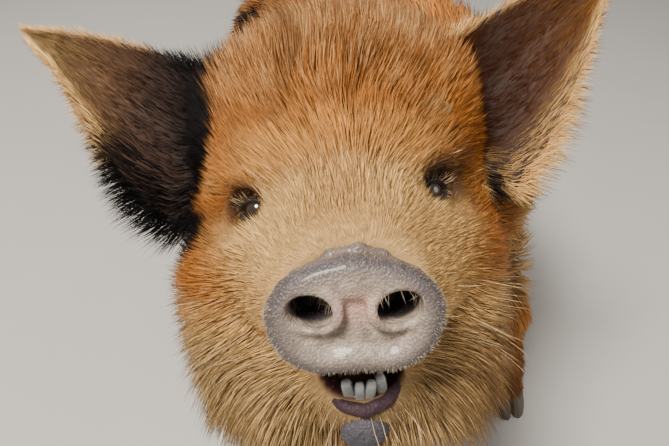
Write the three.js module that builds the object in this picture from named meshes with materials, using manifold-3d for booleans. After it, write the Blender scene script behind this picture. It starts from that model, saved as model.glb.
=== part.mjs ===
// A life-size kunekune pig, standing with its head raised and turned a little to its right.
// Units are millimetres, +Z is up, the pig faces -Y and its left side is +X.
// The flesh is one field of smooth masses. Each node is a skin of rings wrapped onto that field,
// grown by the depth of the coat, and the long coat is a set of flat tapered locks fused to it.
import * as THREE from "three";
import { mergeVertices } from "three/addons/utils/BufferGeometryUtils.js";
import Module from "manifold-3d";

const wasm = await Module();
wasm.setup();

// Driving dimensions
const MODEL_CENTRE = new THREE.Vector3(-77, -62, 0); // middle of the model's box, moved to the origin
const GAP = 0.3; // clearance between touching nodes
const COAT_CORE = 8; // depth of the dense coat over the skin
const BACK_HEIGHT = 545; // skin over the barrel, before the coat
const BELLY_HEIGHT = 150;
const BARREL_HALF_WIDTH = 192;
const EYE_MIDDLE = new THREE.Vector3(-140, -460, 522); // point between the two eyes
const HEAD_TURN = THREE.MathUtils.degToRad(12); // towards the pig's right
const HEAD_RISE = THREE.MathUtils.degToRad(26);
const HEAD_ROLL = THREE.MathUtils.degToRad(6.4); // the left side is the higher one
const EYE_SPACING = 146;
const EYE_RADIUS = 12.5;
const DISC_WIDTH = 96; // the bare nose disc
const DISC_HEIGHT = 73;
const DISC_THICKNESS = 15;
const DISC_FRONT = 153; // from the eyes to the face of the disc, along the snout
const DISC_DROP = 37; // the disc's centre below the eyes
const EAR_THICKNESS = 9;
const HOOF_HEIGHT = 34;

const BLACK = 0x1b1613;
const GINGER = 0xb0662b;
const CREAM = 0xd9b583;
const SLATE = 0x6b5f60;
const HORN = 0x3a322c;

const vector = (x, y, z) => new THREE.Vector3(x, y, z);
const mix = (a, b, t) => a + (b - a) * t;
const smooth = (low, high, x) => THREE.MathUtils.smoothstep(x, low, high);

// The head's own frame: x to the pig's left, y back along the snout, z up, zero between the eyes
const headTurn = new THREE.Matrix4().makeRotationFromEuler(
  new THREE.Euler(-HEAD_RISE, -HEAD_ROLL, -HEAD_TURN, "ZXY"),
);
const headFrame = headTurn.clone().setPosition(EYE_MIDDLE);
const headInverse = headFrame.clone().invert();
const onHead = (x, y, z) => vector(x, y, z).applyMatrix4(headFrame);
const headWay = (x, y, z) => vector(x, y, z).transformDirection(headFrame);

// Masses: each is a function from a point to its distance outside the mass

function ellipsoid(centre, radii) {
  return (p) => {
    const x = (p.x - centre.x) / radii.x;
    const y = (p.y - centre.y) / radii.y;
    const z = (p.z - centre.z) / radii.z;
    const k0 = Math.hypot(x, y, z);
    const k1 = Math.hypot(x / radii.x, y / radii.y, z / radii.z);
    return k1 < 1e-9 ? -Math.min(radii.x, radii.y, radii.z) : (k0 * (k0 - 1)) / k1;
  };
}

function taper(from, fromRadius, to, toRadius) {
  const way = to.clone().sub(from);
  const square = way.lengthSq();
  const offset = vector(0, 0, 0);
  return (p) => {
    offset.copy(p).sub(from);
    const t = THREE.MathUtils.clamp(offset.dot(way) / square, 0, 1);
    return offset.addScaledVector(way, -t).length() - mix(fromRadius, toRadius, t);
  };
}

// Joins masses one after another with a fillet of the given size.
function blend(fillet, ...masses) {
  return (p) => {
    let joined = masses[0](p);
    for (let i = 1; i < masses.length; i++) {
      const other = masses[i](p);
      const h = Math.max(fillet - Math.abs(joined - other), 0) / fillet;
      joined = Math.min(joined, other) - (h * h * fillet) / 4;
    }
    return joined;
  };
}

// Hollows masses out by another one, with a fillet at the brink.
function hollow(fillet, mass, cutter) {
  return (p) => {
    const [kept, cut] = [mass(p), -cutter(p)];
    const h = Math.max(fillet - Math.abs(kept - cut), 0) / fillet;
    return Math.max(kept, cut) + (h * h * fillet) / 4;
  };
}

const bothSides = (make) => [make(-1), make(1)];

// Skull, muzzle, cheeks and jowls, in the head's own frame
const fleshedHead = blend(
  32,
  ellipsoid(vector(0, 98, 36), vector(108, 98, 92)),
  ellipsoid(vector(0, 155, 64), vector(100, 92, 90)),
  ellipsoid(vector(0, 22, 10), vector(66, 54, 42)),
  ...bothSides((s) => taper(vector(s * 14, 20, -40), 66, vector(s * 12, -124, -DISC_DROP - 2), 34)),
  ...bothSides((s) => ellipsoid(vector(s * 38, -38, -50), vector(32, 50, 28))),
  ...bothSides((s) => ellipsoid(vector(s * 60, 22, 26), vector(34, 34, 17))),
  ...bothSides((s) => ellipsoid(vector(s * 64, 14, -42), vector(38, 58, 28))),
  ...bothSides((s) => ellipsoid(vector(s * 76, 42, -48), vector(42, 62, 46))),
  ...bothSides((s) => ellipsoid(vector(s * 66, 58, -90), vector(60, 94, 62))),
  ...bothSides((s) => ellipsoid(vector(s * 60, 14, -126), vector(48, 66, 44))),
  ...bothSides((s) => ellipsoid(vector(s * 94, 92, 62), vector(26, 34, 44))),
  taper(vector(0, 80, -112), 60, vector(0, -93, -108), 29),
  taper(vector(0, 60, -30), 90, vector(0, 190, -40), 118),
);
const eyeCentre = (side) => vector(side * (EYE_SPACING / 2 - 7), 9, -3);
const eyeWay = (side) => vector(side * 0.58, -0.78, 0.22).normalize();
const socket = (side) => eyeCentre(side).addScaledVector(eyeWay(side), 32);
const sockets = blend(4, ...bothSides((s) => ellipsoid(socket(s), vector(19, 19, 19))));
const headMasses = hollow(9, fleshedHead, sockets);
const headPoint = vector(0, 0, 0);
const head = (p) => headMasses(headPoint.copy(p).applyMatrix4(headInverse));

const barrelMiddle = (BACK_HEIGHT + BELLY_HEIGHT) / 2;
const barrelHalfHeight = (BACK_HEIGHT - BELLY_HEIGHT) / 2;
const trunk = blend(
  60,
  ellipsoid(
    vector(0, 95, barrelMiddle + 4),
    vector(BARREL_HALF_WIDTH, 330, barrelHalfHeight),
  ),
  ellipsoid(vector(0, -140, 372), vector(178, 185, 186)),
  ellipsoid(vector(0, -215, 305), vector(122, 118, 128)),
  ellipsoid(vector(0, 290, 368), vector(180, 158, 176)),
  ...bothSides((s) => ellipsoid(vector(s * 92, 300, 300), vector(92, 118, 120))),
  ...bothSides((s) => ellipsoid(vector(s * 100, -180, 310), vector(78, 92, 108))),
  ellipsoid(vector(0, 110, 262), vector(158, 250, 118)),
);
const neck = taper(vector(0, -150, 405), 158, onHead(0, 120, 6), 118);
const core = blend(48, blend(60, trunk, neck), head);

// Legs: hip or shoulder down to the fetlock, with the hoof under it
function legSpine(side, joints) {
  return joints.map(([x, y, z, radius]) => ({ at: vector(side * x, y, z), radius }));
}
const legs = {
  foreleg_right: legSpine(-1, [
    [108, -165, 300, 60],
    [120, -192, 222, 52],
    [124, -214, 136, 39],
    [122, -226, 70, 25],
    [122, -238, HOOF_HEIGHT, 25],
  ]),
  foreleg_left: legSpine(1, [
    [108, -180, 300, 60],
    [128, -232, 226, 52],
    [152, -292, 142, 39],
    [157, -334, 72, 25],
    [159, -352, HOOF_HEIGHT, 25],
  ]),
  hindleg_right: legSpine(-1, [
    [112, 285, 310, 96],
    [128, 268, 226, 68],
    [118, 338, 150, 37],
    [116, 322, 72, 25],
    [116, 308, HOOF_HEIGHT, 25],
  ]),
  hindleg_left: legSpine(1, [
    [112, 292, 310, 96],
    [128, 286, 226, 68],
    [120, 362, 150, 37],
    [118, 348, 72, 25],
    [118, 334, HOOF_HEIGHT, 25],
  ]),
};

function legField(spine) {
  const lengths = [];
  for (let i = 1; i < spine.length; i++) {
    lengths.push(taper(spine[i - 1].at, spine[i - 1].radius, spine[i].at, spine[i].radius));
  }
  return blend(14, ...lengths);
}

// Solids

function solidOf(geometry) {
  const plain = new THREE.BufferGeometry();
  plain.setAttribute("position", geometry.getAttribute("position"));
  plain.setIndex(geometry.getIndex());
  const merged = mergeVertices(plain, 1e-3);
  return new wasm.Manifold(
    new wasm.Mesh({
      numProp: 3,
      vertProperties: new Float32Array(merged.getAttribute("position").array),
      triVerts: new Uint32Array(merged.getIndex().array),
    }),
  );
}

// The largest closed surface of a solid, without the scraps or sealed hollows that fusing leaves.
function largestBody(solid) {
  const bodies = solid.decompose();
  return bodies.reduce((a, b) => (b.volume() > a.volume() ? b : a));
}

function fuse(base, pieces) {
  return largestBody(pieces.reduce((whole, piece) => whole.add(piece), base));
}

function geometryOf(solid) {
  const mesh = solid.getMesh();
  const points = new Float32Array(mesh.numVert * 3);
  for (let i = 0; i < mesh.numVert; i++) {
    points.set(mesh.vertProperties.subarray(i * mesh.numProp, i * mesh.numProp + 3), i * 3);
  }
  const geometry = new THREE.BufferGeometry();
  geometry.setAttribute("position", new THREE.BufferAttribute(points, 3));
  geometry.setIndex(new THREE.BufferAttribute(new Uint32Array(mesh.triVerts), 1));
  geometry.computeVertexNormals();
  return geometry;
}

// A closed surface from rings of points, each as long as the next, and a pole at either end.
function closedRings(rings, firstPole, lastPole) {
  const count = rings[0].length;
  const points = [firstPole, ...rings.flat(), lastPole];
  const index = [];
  const at = (ring, i) => 1 + ring * count + (i % count);
  const last = points.length - 1;
  for (let i = 0; i < count; i++) {
    index.push(0, at(0, i + 1), at(0, i));
    index.push(last, at(rings.length - 1, i), at(rings.length - 1, i + 1));
    for (let r = 0; r + 1 < rings.length; r++) {
      index.push(at(r, i), at(r, i + 1), at(r + 1, i + 1));
      index.push(at(r, i), at(r + 1, i + 1), at(r + 1, i));
    }
  }
  const geometry = new THREE.BufferGeometry().setFromPoints(points);
  geometry.setIndex(index);
  return geometry;
}

function outwardSolid(geometry) {
  const solid = solidOf(geometry);
  if (solid.volume() > 0) return solid;
  const index = geometry.getIndex().array;
  for (let i = 0; i < index.length; i += 3) [index[i], index[i + 1]] = [index[i + 1], index[i]];
  return solidOf(geometry);
}

// Walks out from a point inside the field until its surface, plus the coat, is reached.
function reach(field, from, way, coat) {
  const p = vector(0, 0, 0);
  let distance = 0;
  for (let step = 0; step < 90; step++) {
    p.copy(from).addScaledVector(way, distance);
    const outside = field(p) - coat(p);
    if (outside > -0.02) break;
    distance += Math.max(-outside * 0.8, 0.05);
  }
  return p;
}

const direction = vector(0, 0, 0);
// A station is a ring of rays about an axis. Tilted rays lean along the axis, to close a round end.
function ringAt(station, field, coat, count) {
  const points = [];
  for (let i = 0; i < count; i++) {
    const angle = (2 * Math.PI * i) / count;
    direction
      .copy(station.side)
      .multiplyScalar(Math.cos(angle))
      .addScaledVector(station.up, Math.sin(angle))
      .multiplyScalar(Math.cos(station.tilt))
      .addScaledVector(station.axis, Math.sin(station.tilt));
    points.push(reach(field, station.at, direction, coat));
  }
  return points;
}

function stationAt(at, axis, upHint, tilt = 0) {
  const side = axis.clone().cross(upHint).normalize();
  return { at, axis, side, up: side.clone().cross(axis).normalize(), tilt };
}

function wrap(stations, field, coat, count, firstPole, lastPole) {
  const rings = stations.map((station) => ringAt(station, field, coat, count));
  return outwardSolid(closedRings(rings, firstPole, lastPole));
}

const UP = vector(0, 0, 1);
const BACK = vector(0, 1, 0);
const evenCoat = () => COAT_CORE;
const coatGrownBy = (extra) => (p) => evenCoat(p) + extra;

// The coat is thin over the muzzle and round the eyes and deepens behind them.
function headCoat(p) {
  headPoint.copy(p).applyMatrix4(headInverse);
  const deep = mix(1.5, COAT_CORE, smooth(15, 90, headPoint.y + DISC_FRONT));
  const left = headPoint.distanceTo(eyeCentre(1));
  const right = headPoint.distanceTo(eyeCentre(-1));
  return mix(1, deep, smooth(16, 34, Math.min(left, right)));
}

// The spine runs from the rump through the neck to the muzzle
const neckBase = vector(0, -215, 392);
const skullBack = onHead(0, 96, -28);
const neckAxis = vector(0, -0.8, 0.6).normalize();
const snoutAxis = headWay(0, -1, 0);

function trunkStations(extra) {
  const rump = vector(0, 300, 372);
  const stations = [80, 62, 44, 26, 10].map((tilt) =>
    stationAt(rump, BACK, UP, THREE.MathUtils.degToRad(tilt)),
  );
  const straight = 11;
  for (let i = 0; i <= straight; i++) {
    const t = i / straight;
    const at = vector(0, mix(270, neckBase.y, t), mix(372, neckBase.z, t));
    const axis = BACK.clone().lerp(neckAxis.clone().negate(), smooth(0.45, 1, t)).normalize();
    if (i === straight) at.addScaledVector(axis, GAP / 2 - extra);
    stations.push(stationAt(at, axis, UP));
  }
  return stations;
}

function trunkSolid(extra) {
  const stations = trunkStations(extra);
  const coat = coatGrownBy(extra);
  const pole = reach(core, stations[0].at, BACK, coat);
  return wrap(stations, core, coat, 32, pole, stations.at(-1).at);
}

function neckSolid(extra) {
  const coat = coatGrownBy(extra);
  const count = 5;
  const stations = [];
  for (let i = 0; i <= count; i++) {
    const t = i / count;
    const axis = neckAxis.clone().lerp(snoutAxis, smooth(0, 1, t)).normalize().negate();
    const at = neckBase.clone().lerp(skullBack, t);
    if (i === 0) at.addScaledVector(axis, extra - GAP / 2);
    if (i === count) at.addScaledVector(axis, GAP / 2 - extra);
    stations.push(stationAt(at, axis, UP));
  }
  return wrap(stations, core, coat, 32, stations[0].at, stations.at(-1).at);
}

const muzzleEnd = -DISC_FRONT + DISC_THICKNESS + GAP;
function headSolid(extra) {
  const coat = (p) => headCoat(p) + extra;
  const back = headWay(0, 1, 0);
  const places = [96 - GAP / 2 + extra, 80, 62, 46, 33, 22, 12, 3, -6, -16, -28, -42, -60];
  places.push(-80, -100, -117, -129, muzzleEnd - extra);
  const stations = places.map((y) => {
    const drop = mix(-28, -DISC_DROP - 12, smooth(90, -110, y));
    return stationAt(onHead(0, y, drop), back, headWay(0, 0, 1));
  });
  return wrap(stations, core, coat, 42, stations[0].at, stations.at(-1).at);
}

function legSolid(spine, coat) {
  const field = legField(spine);
  const curve = new THREE.CatmullRomCurve3(spine.map((joint) => joint.at));
  const rings = 11;
  const stations = [];
  for (let i = 0; i <= rings; i++) {
    const t = i / rings;
    const down = i === rings;
    const at = curve.getPointAt(t);
    const axis = down ? UP.clone() : curve.getTangentAt(t).negate();
    if (down) at.z = HOOF_HEIGHT + GAP;
    stations.push(stationAt(at, axis, BACK));
  }
  return wrap(stations, field, coat, 16, stations[0].at, stations.at(-1).at);
}

// Locks: flat, tapered and bent along the lie of the coat

const LOCK_STEPS = 2;
function lock({ root, normal, lie, length, width, thickness, lift, grow = 0, sink = 7 }) {
  const side = lie.clone().cross(normal).normalize();
  const at = root.clone().addScaledVector(normal, -sink);
  const rings = [];
  for (let i = 0; i <= LOCK_STEPS; i++) {
    const t = i / (LOCK_STEPS + 1);
    const taperOff = t < 0.3 ? mix(0.75, 1, t / 0.3) : Math.sqrt(1 - (t - 0.3) / 0.75);
    const half = (width / 2) * taperOff + grow;
    const crown = thickness * mix(1, 0.4, t) + grow;
    const under = at.clone().addScaledVector(normal, -grow);
    rings.push([
      under.clone().addScaledVector(side, -half),
      at.clone().addScaledVector(normal, crown),
      under.clone().addScaledVector(side, half),
    ]);
    const rise = lift * mix(1, 0.45, t);
    const stride = (length + sink + 3 * grow) / (LOCK_STEPS + 1);
    at.addScaledVector(lie, stride * Math.cos(rise));
    at.addScaledVector(normal, stride * Math.sin(rise));
  }
  const firstPole = rings[0][0].clone().add(rings[0][1]).add(rings[0][2]).divideScalar(3);
  return outwardSolid(closedRings(rings, firstPole, at));
}

function normalOf(field, p) {
  const e = 2;
  const slope = (dx, dy, dz) =>
    field(vector(p.x + dx, p.y + dy, p.z + dz)) - field(vector(p.x - dx, p.y - dy, p.z - dz));
  return vector(slope(e, 0, 0), slope(0, e, 0), slope(0, 0, e)).normalize();
}

// A small seeded draw, so that every build has the same locks.
function seeded(seed) {
  let state = seed;
  return () => {
    state = (state * 1664525 + 1013904223) % 4294967296;
    return state / 4294967296;
  };
}

// Locks in staggered rows of rays round a spine, laid along the given flow.
function rowsOfLocks({ field, coat, rows, flow, keep, size, seed, grow = 0 }) {
  const random = seeded(seed);
  const locks = [];
  rows.forEach((row, r) => {
    for (let i = 0; i < row.count; i++) {
      const angle = (2 * Math.PI * (i + (r % 2) / 2 + (random() - 0.5) * 0.3)) / row.count;
      const [longer, wider] = [mix(0.88, 1.12, random()), mix(0.9, 1.1, random())];
      const way = row.side.clone().multiplyScalar(Math.cos(angle));
      way.addScaledVector(row.up, Math.sin(angle));
      const root = reach(field, row.at, way, coat);
      const normal = normalOf(field, root);
      if (!keep(root, normal)) continue;
      const lie = flow(root, normal);
      lie.addScaledVector(normal, -lie.dot(normal)).normalize();
      const form = size(root);
      const [length, width] = [form.length * longer, form.width * wider];
      locks.push(lock({ root, normal, lie, ...form, length, width, grow }));
    }
  });
  return wasm.Manifold.union(locks);
}

// How far a point lies behind the plane where the neck meets the trunk
const behindNeck = (p) => -p.clone().sub(neckBase).dot(neckAxis);

const BODY_LOCK = { length: 116, width: 62, thickness: 9, lift: 0.27 };

function bodyFlow(p, normal) {
  const flank = smooth(0.2, 0.9, Math.abs(normal.x));
  const rump = smooth(0.2, 0.9, normal.y);
  return vector(0, 1, mix(-0.05, -0.75, flank) - rump - 0.25 * smooth(0.2, -0.6, normal.z));
}

function trunkLocks() {
  const rows = [];
  for (let y = -170; y <= 330; y += 88) {
    rows.push({ at: vector(0, y, 372), side: vector(1, 0, 0), up: UP, count: 16 });
  }
  rows.push({ at: vector(0, 300, 372), side: vector(1, 0, 0), up: vector(0, 0.55, 0.85), count: 16 });
  rows.push({ at: vector(0, 300, 372), side: vector(1, 0, 0), up: vector(0, 0.9, 0.45), count: 14 });
  const keep = (p, normal) => normal.z > -0.62 && behindNeck(p) > 16 && (p.y > 300 || p.y < 320);
  const size = (p) => {
    const length = BODY_LOCK.length * mix(1, 0.8, smooth(250, 350, p.y));
    return { ...BODY_LOCK, length };
  };
  return rowsOfLocks({ field: core, coat: evenCoat, rows, flow: bodyFlow, keep, size, seed: 7 });
}

const NECK_LOCK = { length: 84, width: 52, thickness: 8, lift: 0.3 };

function neckLocks(grow) {
  const rows = [0.3, 0.68].map((t) => {
    const station = stationAt(neckBase.clone().lerp(skullBack, t), neckAxis.clone().negate(), UP);
    return { at: station.at, side: station.side, up: station.up, count: 18 };
  });
  const flow = (p, normal) => vector(0, 1, -0.5 * smooth(0.2, 0.9, Math.abs(normal.x)) - 0.2);
  const keep = (p, normal) => normal.z > -0.55;
  const size = () => NECK_LOCK;
  return rowsOfLocks({ field: core, coat: evenCoat, rows, flow, keep, size, seed: 19, grow });
}

const FACE_LOCK = { length: 60, width: 38, thickness: 6, lift: 0.3 };

// The coat of the head streams away from the nose disc, over the crown and down the jowls.
function headFlow(p, normal) {
  const from = p.clone().sub(onHead(0, -DISC_FRONT, -DISC_DROP)).normalize();
  return from.addScaledVector(headWay(0, 1, -0.25), 0.6).addScaledVector(normal, -0.1);
}

function headLocks(grow) {
  const rows = [76, 34].map((y) => {
    const side = headWay(1, 0, 0);
    return { at: onHead(0, y, -34), side, up: headWay(0, 0, 1), count: 19 };
  });
  const keep = (p) => {
    headPoint.copy(p).applyMatrix4(headInverse);
    const crown = headPoint.z > 62 && Math.abs(headPoint.x) < 78 && headPoint.y > 30;
    const jowl = headPoint.z < -52 && Math.abs(headPoint.x) > 20;
    return crown || jowl;
  };
  const size = () => FACE_LOCK;
  return rowsOfLocks({ field: core, coat: headCoat, rows, flow: headFlow, keep, size, seed: 5, grow });
}

// The ears

// Rows of the ear's outline from root to tip: the upper edge and the lower one, each as the
// distance from the head's midline and the height over the eyes, seen square to the ear.
const EAR_ROWS = [
  [88, 110, 88, 20],
  [112, 132, 118, 2],
  [138, 147, 152, -6],
  [166, 158, 178, 22],
  [196, 168, 200, 58],
  [228, 175, 223, 106],
  [248, 174, 240, 146],
  [258, 177, 255, 168],
];
const EAR_LEAN = 0.21; // radians that the ear's face leans back from the head's own up
const EAR_SAMPLES = 8;
function earPoint(side, row, s, depth) {
  const t = row / (EAR_ROWS.length - 1);
  const [x0, z0, x1, z1] = EAR_ROWS[row];
  const height = mix(z0, z1, s);
  const cupped = mix(30, 4, t) * Math.sin(Math.PI * s) - 8 * s * s * (1 - t);
  const back = mix(66, 36, t) + cupped + depth;
  const [c, d] = [Math.cos(EAR_LEAN), Math.sin(EAR_LEAN)];
  return onHead(side * mix(x0, x1, s), height * d + back * c, height * c - back * d);
}

function earSolid(side, grow) {
  const rings = EAR_ROWS.map((_, row) => {
    const ring = [];
    for (let i = 0; i <= EAR_SAMPLES; i++) {
      const s = i / EAR_SAMPLES;
      ring.push(earPoint(side, row, s, -grow));
    }
    for (let i = EAR_SAMPLES; i >= 0; i--) {
      const s = i / EAR_SAMPLES;
      const thick = mix(2.5, EAR_THICKNESS, Math.sin(Math.PI * s));
      ring.push(earPoint(side, row, s, thick + grow));
    }
    return ring;
  });
  const middleOf = (ring) =>
    ring.reduce((sum, p) => sum.add(p), vector(0, 0, 0)).divideScalar(ring.length);
  const tip = onHead(side * 266, 72, 167);
  return outwardSolid(closedRings(rings, middleOf(rings[0]), tip));
}

// Round forms in the head's frame
function ball(centre, radii, turn, frame = headFrame, around = 12, down = 8) {
  const geometry = new THREE.SphereGeometry(1, around, down);
  geometry.scale(radii.x, radii.y, radii.z);
  if (turn) geometry.applyQuaternion(turn);
  geometry.translate(centre.x, centre.y, centre.z);
  if (frame) geometry.applyMatrix4(frame);
  return outwardSolid(geometry);
}
const turnTo = (way) => new THREE.Quaternion().setFromUnitVectors(vector(0, -1, 0), way);

// The bare disc at the end of the snout
const discRoll = new THREE.Quaternion().setFromAxisAngle(vector(0, 1, 0), 0.04);
function discOutline(angle, scale) {
  const [c, s] = [Math.cos(angle), Math.sin(angle)];
  const power = s > 0 ? 2.05 : 2.35;
  const r = (Math.abs(c) ** power + Math.abs(s) ** power) ** (-1 / power);
  const peak = 5 * Math.exp(-((((angle - Math.PI / 2) * 180) / Math.PI / 26) ** 2));
  const x = c * r * (DISC_WIDTH / 2) * (s > 0 ? 1 - 0.12 * s : 1 - 0.03 * -s);
  const z = s * r * (DISC_HEIGHT / 2 - 2.5) + (s > 0 ? peak : 0);
  return [x * scale, z * scale];
}
function discSolid() {
  const profile = [
    [0.84, 0],
    [0.93, -2.5],
    [0.985, -6],
    [1, -9.5],
    [0.975, -12.8],
    [0.91, -15],
    [0.82, -15.2],
    [0.68, -13.6],
    [0.42, -12.4],
  ];
  const place = (x, y, z) => {
    const tilted = y - (z * 0.06 * -y) / DISC_THICKNESS;
    const p = vector(x, tilted, z).applyQuaternion(discRoll);
    return onHead(p.x, p.y - DISC_FRONT + DISC_THICKNESS, p.z - DISC_DROP);
  };
  const rings = profile.map(([scale, y]) =>
    Array.from({ length: 28 }, (_, i) => {
      const [x, z] = discOutline((2 * Math.PI * i) / 28, scale);
      return place(x, y, z);
    }),
  );
  return outwardSolid(closedRings(rings, place(0, 0, 0), place(0, -12.4, 0)));
}
function nostril(side) {
  const turn = new THREE.Quaternion().setFromEuler(new THREE.Euler(0.12, side * 0.35, side * 0.16));
  return ball(vector(side * 22, -142, -DISC_DROP + 3), vector(11.5, 24, 8), turn);
}

// Eyes, lids, mouth and teeth
const eyeSolid = (side, radius) =>
  ball(eyeCentre(side), vector(radius, radius, radius), turnTo(eyeWay(side)), headFrame, 14, 8);
const lidSolid = (side) => eyeSolid(side, EYE_RADIUS + 3.4);
function lidOpening(side) {
  const middle = eyeCentre(side).addScaledVector(eyeWay(side), EYE_RADIUS + 2);
  return ball(middle, vector(11, 9, 4.6), turnTo(eyeWay(side)));
}
function mouthOpening() {
  const hollow = ball(vector(0, -116, -90), vector(27, 42, 11.5), null, headFrame, 14, 8);
  const line = new THREE.Shape([
    new THREE.Vector2(-170, -92),
    new THREE.Vector2(-62, -85),
    new THREE.Vector2(-60, -83.4),
    new THREE.Vector2(-170, -87),
  ]);
  const cut = new THREE.ExtrudeGeometry(line, { depth: 170, bevelEnabled: false });
  const across = new THREE.Matrix4().makeBasis(BACK, UP, vector(1, 0, 0));
  cut.applyMatrix4(across).translate(-85, 0, 0).applyMatrix4(headFrame);
  return hollow.add(outwardSolid(cut));
}
function teethSolid(grow) {
  const gum = ball(vector(0, -112, -101), vector(19 + grow, 8 + grow, 4.5 + grow), null);
  const teeth = [-13.4, -4.5, 4.5, 13.4].map((x) => {
    const outer = Math.abs(x) > 9;
    const lean = new THREE.Quaternion().setFromEuler(new THREE.Euler(0.5, outer ? x * 0.012 : 0, 0));
    const centre = vector(x, outer ? -117 : -120, outer ? -93 : -92);
    const radii = vector(4.2 + grow, 3 + grow, (outer ? 10.5 : 11.5) + grow);
    return ball(centre, radii, lean, headFrame, 7, 5);
  });
  return fuse(gum, teeth);
}
function lipSolid(points, radius) {
  return tube(
    points.map(([x, y, z]) => onHead(x, y, z)),
    () => radius,
    8,
  );
}

function tube(points, radii, count) {
  const curve = new THREE.CatmullRomCurve3(points);
  const steps = points.length * 2;
  const rings = [];
  let last;
  for (let i = 0; i <= steps; i++) {
    const t = i / steps;
    last = stationAt(curve.getPointAt(t), curve.getTangentAt(t), vector(0.01, 0, 1));
    const radius = radii(t);
    rings.push(
      Array.from({ length: count }, (_, j) => {
        const angle = (2 * Math.PI * j) / count;
        const p = last.at.clone().addScaledVector(last.side, radius * Math.cos(angle));
        return p.addScaledVector(last.up, radius * Math.sin(angle));
      }),
    );
  }
  const tip = last.at.clone().addScaledVector(last.axis, radii(1) * 0.8);
  return outwardSolid(closedRings(rings, curve.getPointAt(0), tip));
}

// Feet
function clawSolid(foot, side) {
  const heights = [0, 4, 18, HOOF_HEIGHT];
  const lengths = [58, 61, 56, 46];
  const widths = [25, 27, 26.5, 24];
  const forward = [12, 12.5, 8, 1];
  const rings = heights.map((z, k) =>
    Array.from({ length: 12 }, (_, i) => {
      const angle = (2 * Math.PI * i) / 12;
      const across = THREE.MathUtils.clamp((Math.cos(angle) + 0.62) / 1.62, 0, 1);
      const along = Math.sin(angle) * (lengths[k] / 2);
      const toe = along < 0 ? 1 - 0.28 * Math.abs(Math.sin(angle)) ** 3 : 1;
      const x = foot.x + side * (1.8 + across * widths[k] * toe);
      return vector(x, foot.y - forward[k] + along, z);
    }),
  );
  const middle = (k) => vector(foot.x + side * 12, foot.y - forward[k], heights[k]);
  return outwardSolid(closedRings(rings, middle(0), middle(heights.length - 1)));
}
function dewclawSolid(foot, side) {
  const lean = new THREE.Quaternion().setFromEuler(new THREE.Euler(0.45, 0, 0));
  const centre = vector(foot.x + side * 14, foot.y + 33, 58);
  return ball(centre, vector(7.5, 8, 15), lean, null, 8, 5);
}

const pig = new THREE.Group();
function place(name, solid, colour, roughness = 0.85) {
  const material = new THREE.MeshStandardMaterial({ color: colour, roughness, metalness: 0 });
  const mesh = new THREE.Mesh(geometryOf(solid), material);
  mesh.name = name;
  pig.add(mesh);
}
const cutBy = (solid, ...cutters) => cutters.reduce((rest, cutter) => rest.subtract(cutter), solid);

const sides = { right: -1, left: 1 };
const legCoat = (extra) => (p) => mix(4, COAT_CORE, smooth(90, 230, p.z)) + extra;

// Rooms are the solids grown by the gap, to cut their neighbours with.
const trunkRoom = trunkSolid(GAP);
const neckRoom = neckSolid(GAP);
const headRoom = headSolid(GAP);
const legRooms = Object.values(legs).map((spine) => legSolid(spine, legCoat(0.9)));

const tailPoints = [
  [0, 405, 440],
  [2, 452, 446],
  [8, 486, 410],
  [10, 494, 350],
  [4, 492, 290],
].map((p) => vector(...p));
const tailRadius = (extra) => (t) => mix(19, 8, smooth(0, 0.7, t)) + extra;
const tailSolid = (extra) => tube(tailPoints, tailRadius(extra), 12);

// Tassels of skin and hair under the jaw
function tasselSolid(side) {
  const root = onHead(side * 46, 74, -138);
  const points = [0, 22, 44, 66].map((drop) => root.clone().add(vector(side * drop * 0.08, 0, -drop)));
  return tube(points, (t) => mix(9, 13, Math.sin(Math.PI * t * 0.62)), 8);
}

const wideHeadLocks = headLocks(0.5);
const wideNeckLocks = neckLocks(0.5);

const trunkCoat = cutBy(trunkLocks(), ...legRooms, tailSolid(GAP), neckRoom, wideNeckLocks);
place("torso", fuse(trunkSolid(0), [trunkCoat]), GINGER);

const ears = Object.values(sides).map((side) => earSolid(side, 0.5));
const tassels = Object.values(sides).map((side) => tasselSolid(side));
const hung = [...ears, ...tassels];
const neckCoat = cutBy(neckLocks(0), trunkRoom, headRoom, wideHeadLocks, ...legRooms, ...hung);
place("neck", fuse(neckSolid(0), [neckCoat]), GINGER);

const discRoom = ball(
  vector(0, -DISC_FRONT + DISC_THICKNESS - 40, -DISC_DROP),
  vector(70, 40 - GAP, 60),
  null,
);
const headCoatLocks = cutBy(headLocks(0), neckRoom, trunkRoom, ...hung, discRoom);
const lips = [
  lipSolid(
    [
      [-34, -84, -94],
      [-26, -110, -99],
      [0, -127, -102],
      [26, -110, -99],
      [34, -84, -94],
    ],
    5.5,
  ),
];
const lids = Object.values(sides).map((side) => lidSolid(side));
const faceCuts = Object.values(sides).flatMap((side) => [
  eyeSolid(side, EYE_RADIUS + GAP),
  lidOpening(side),
  nostril(side),
]);
let headWhole = cutBy(fuse(headSolid(0), lids), mouthOpening());
headWhole = fuse(headWhole, [...lips, headCoatLocks]);
place("head", largestBody(cutBy(headWhole, ...faceCuts, teethSolid(0.4))), GINGER);
place("snout_disc", cutBy(discSolid(), nostril(-1), nostril(1)), SLATE, 0.45);
place("teeth", teethSolid(0), 0xd8d2c0, 0.35);

for (const [name, side] of Object.entries(sides)) {
  place("ear_" + name, largestBody(cutBy(earSolid(side, 0), headRoom, neckRoom)), BLACK);
  place("eye_" + name, eyeSolid(side, EYE_RADIUS), 0x140d09, 0.1);
}

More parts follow.
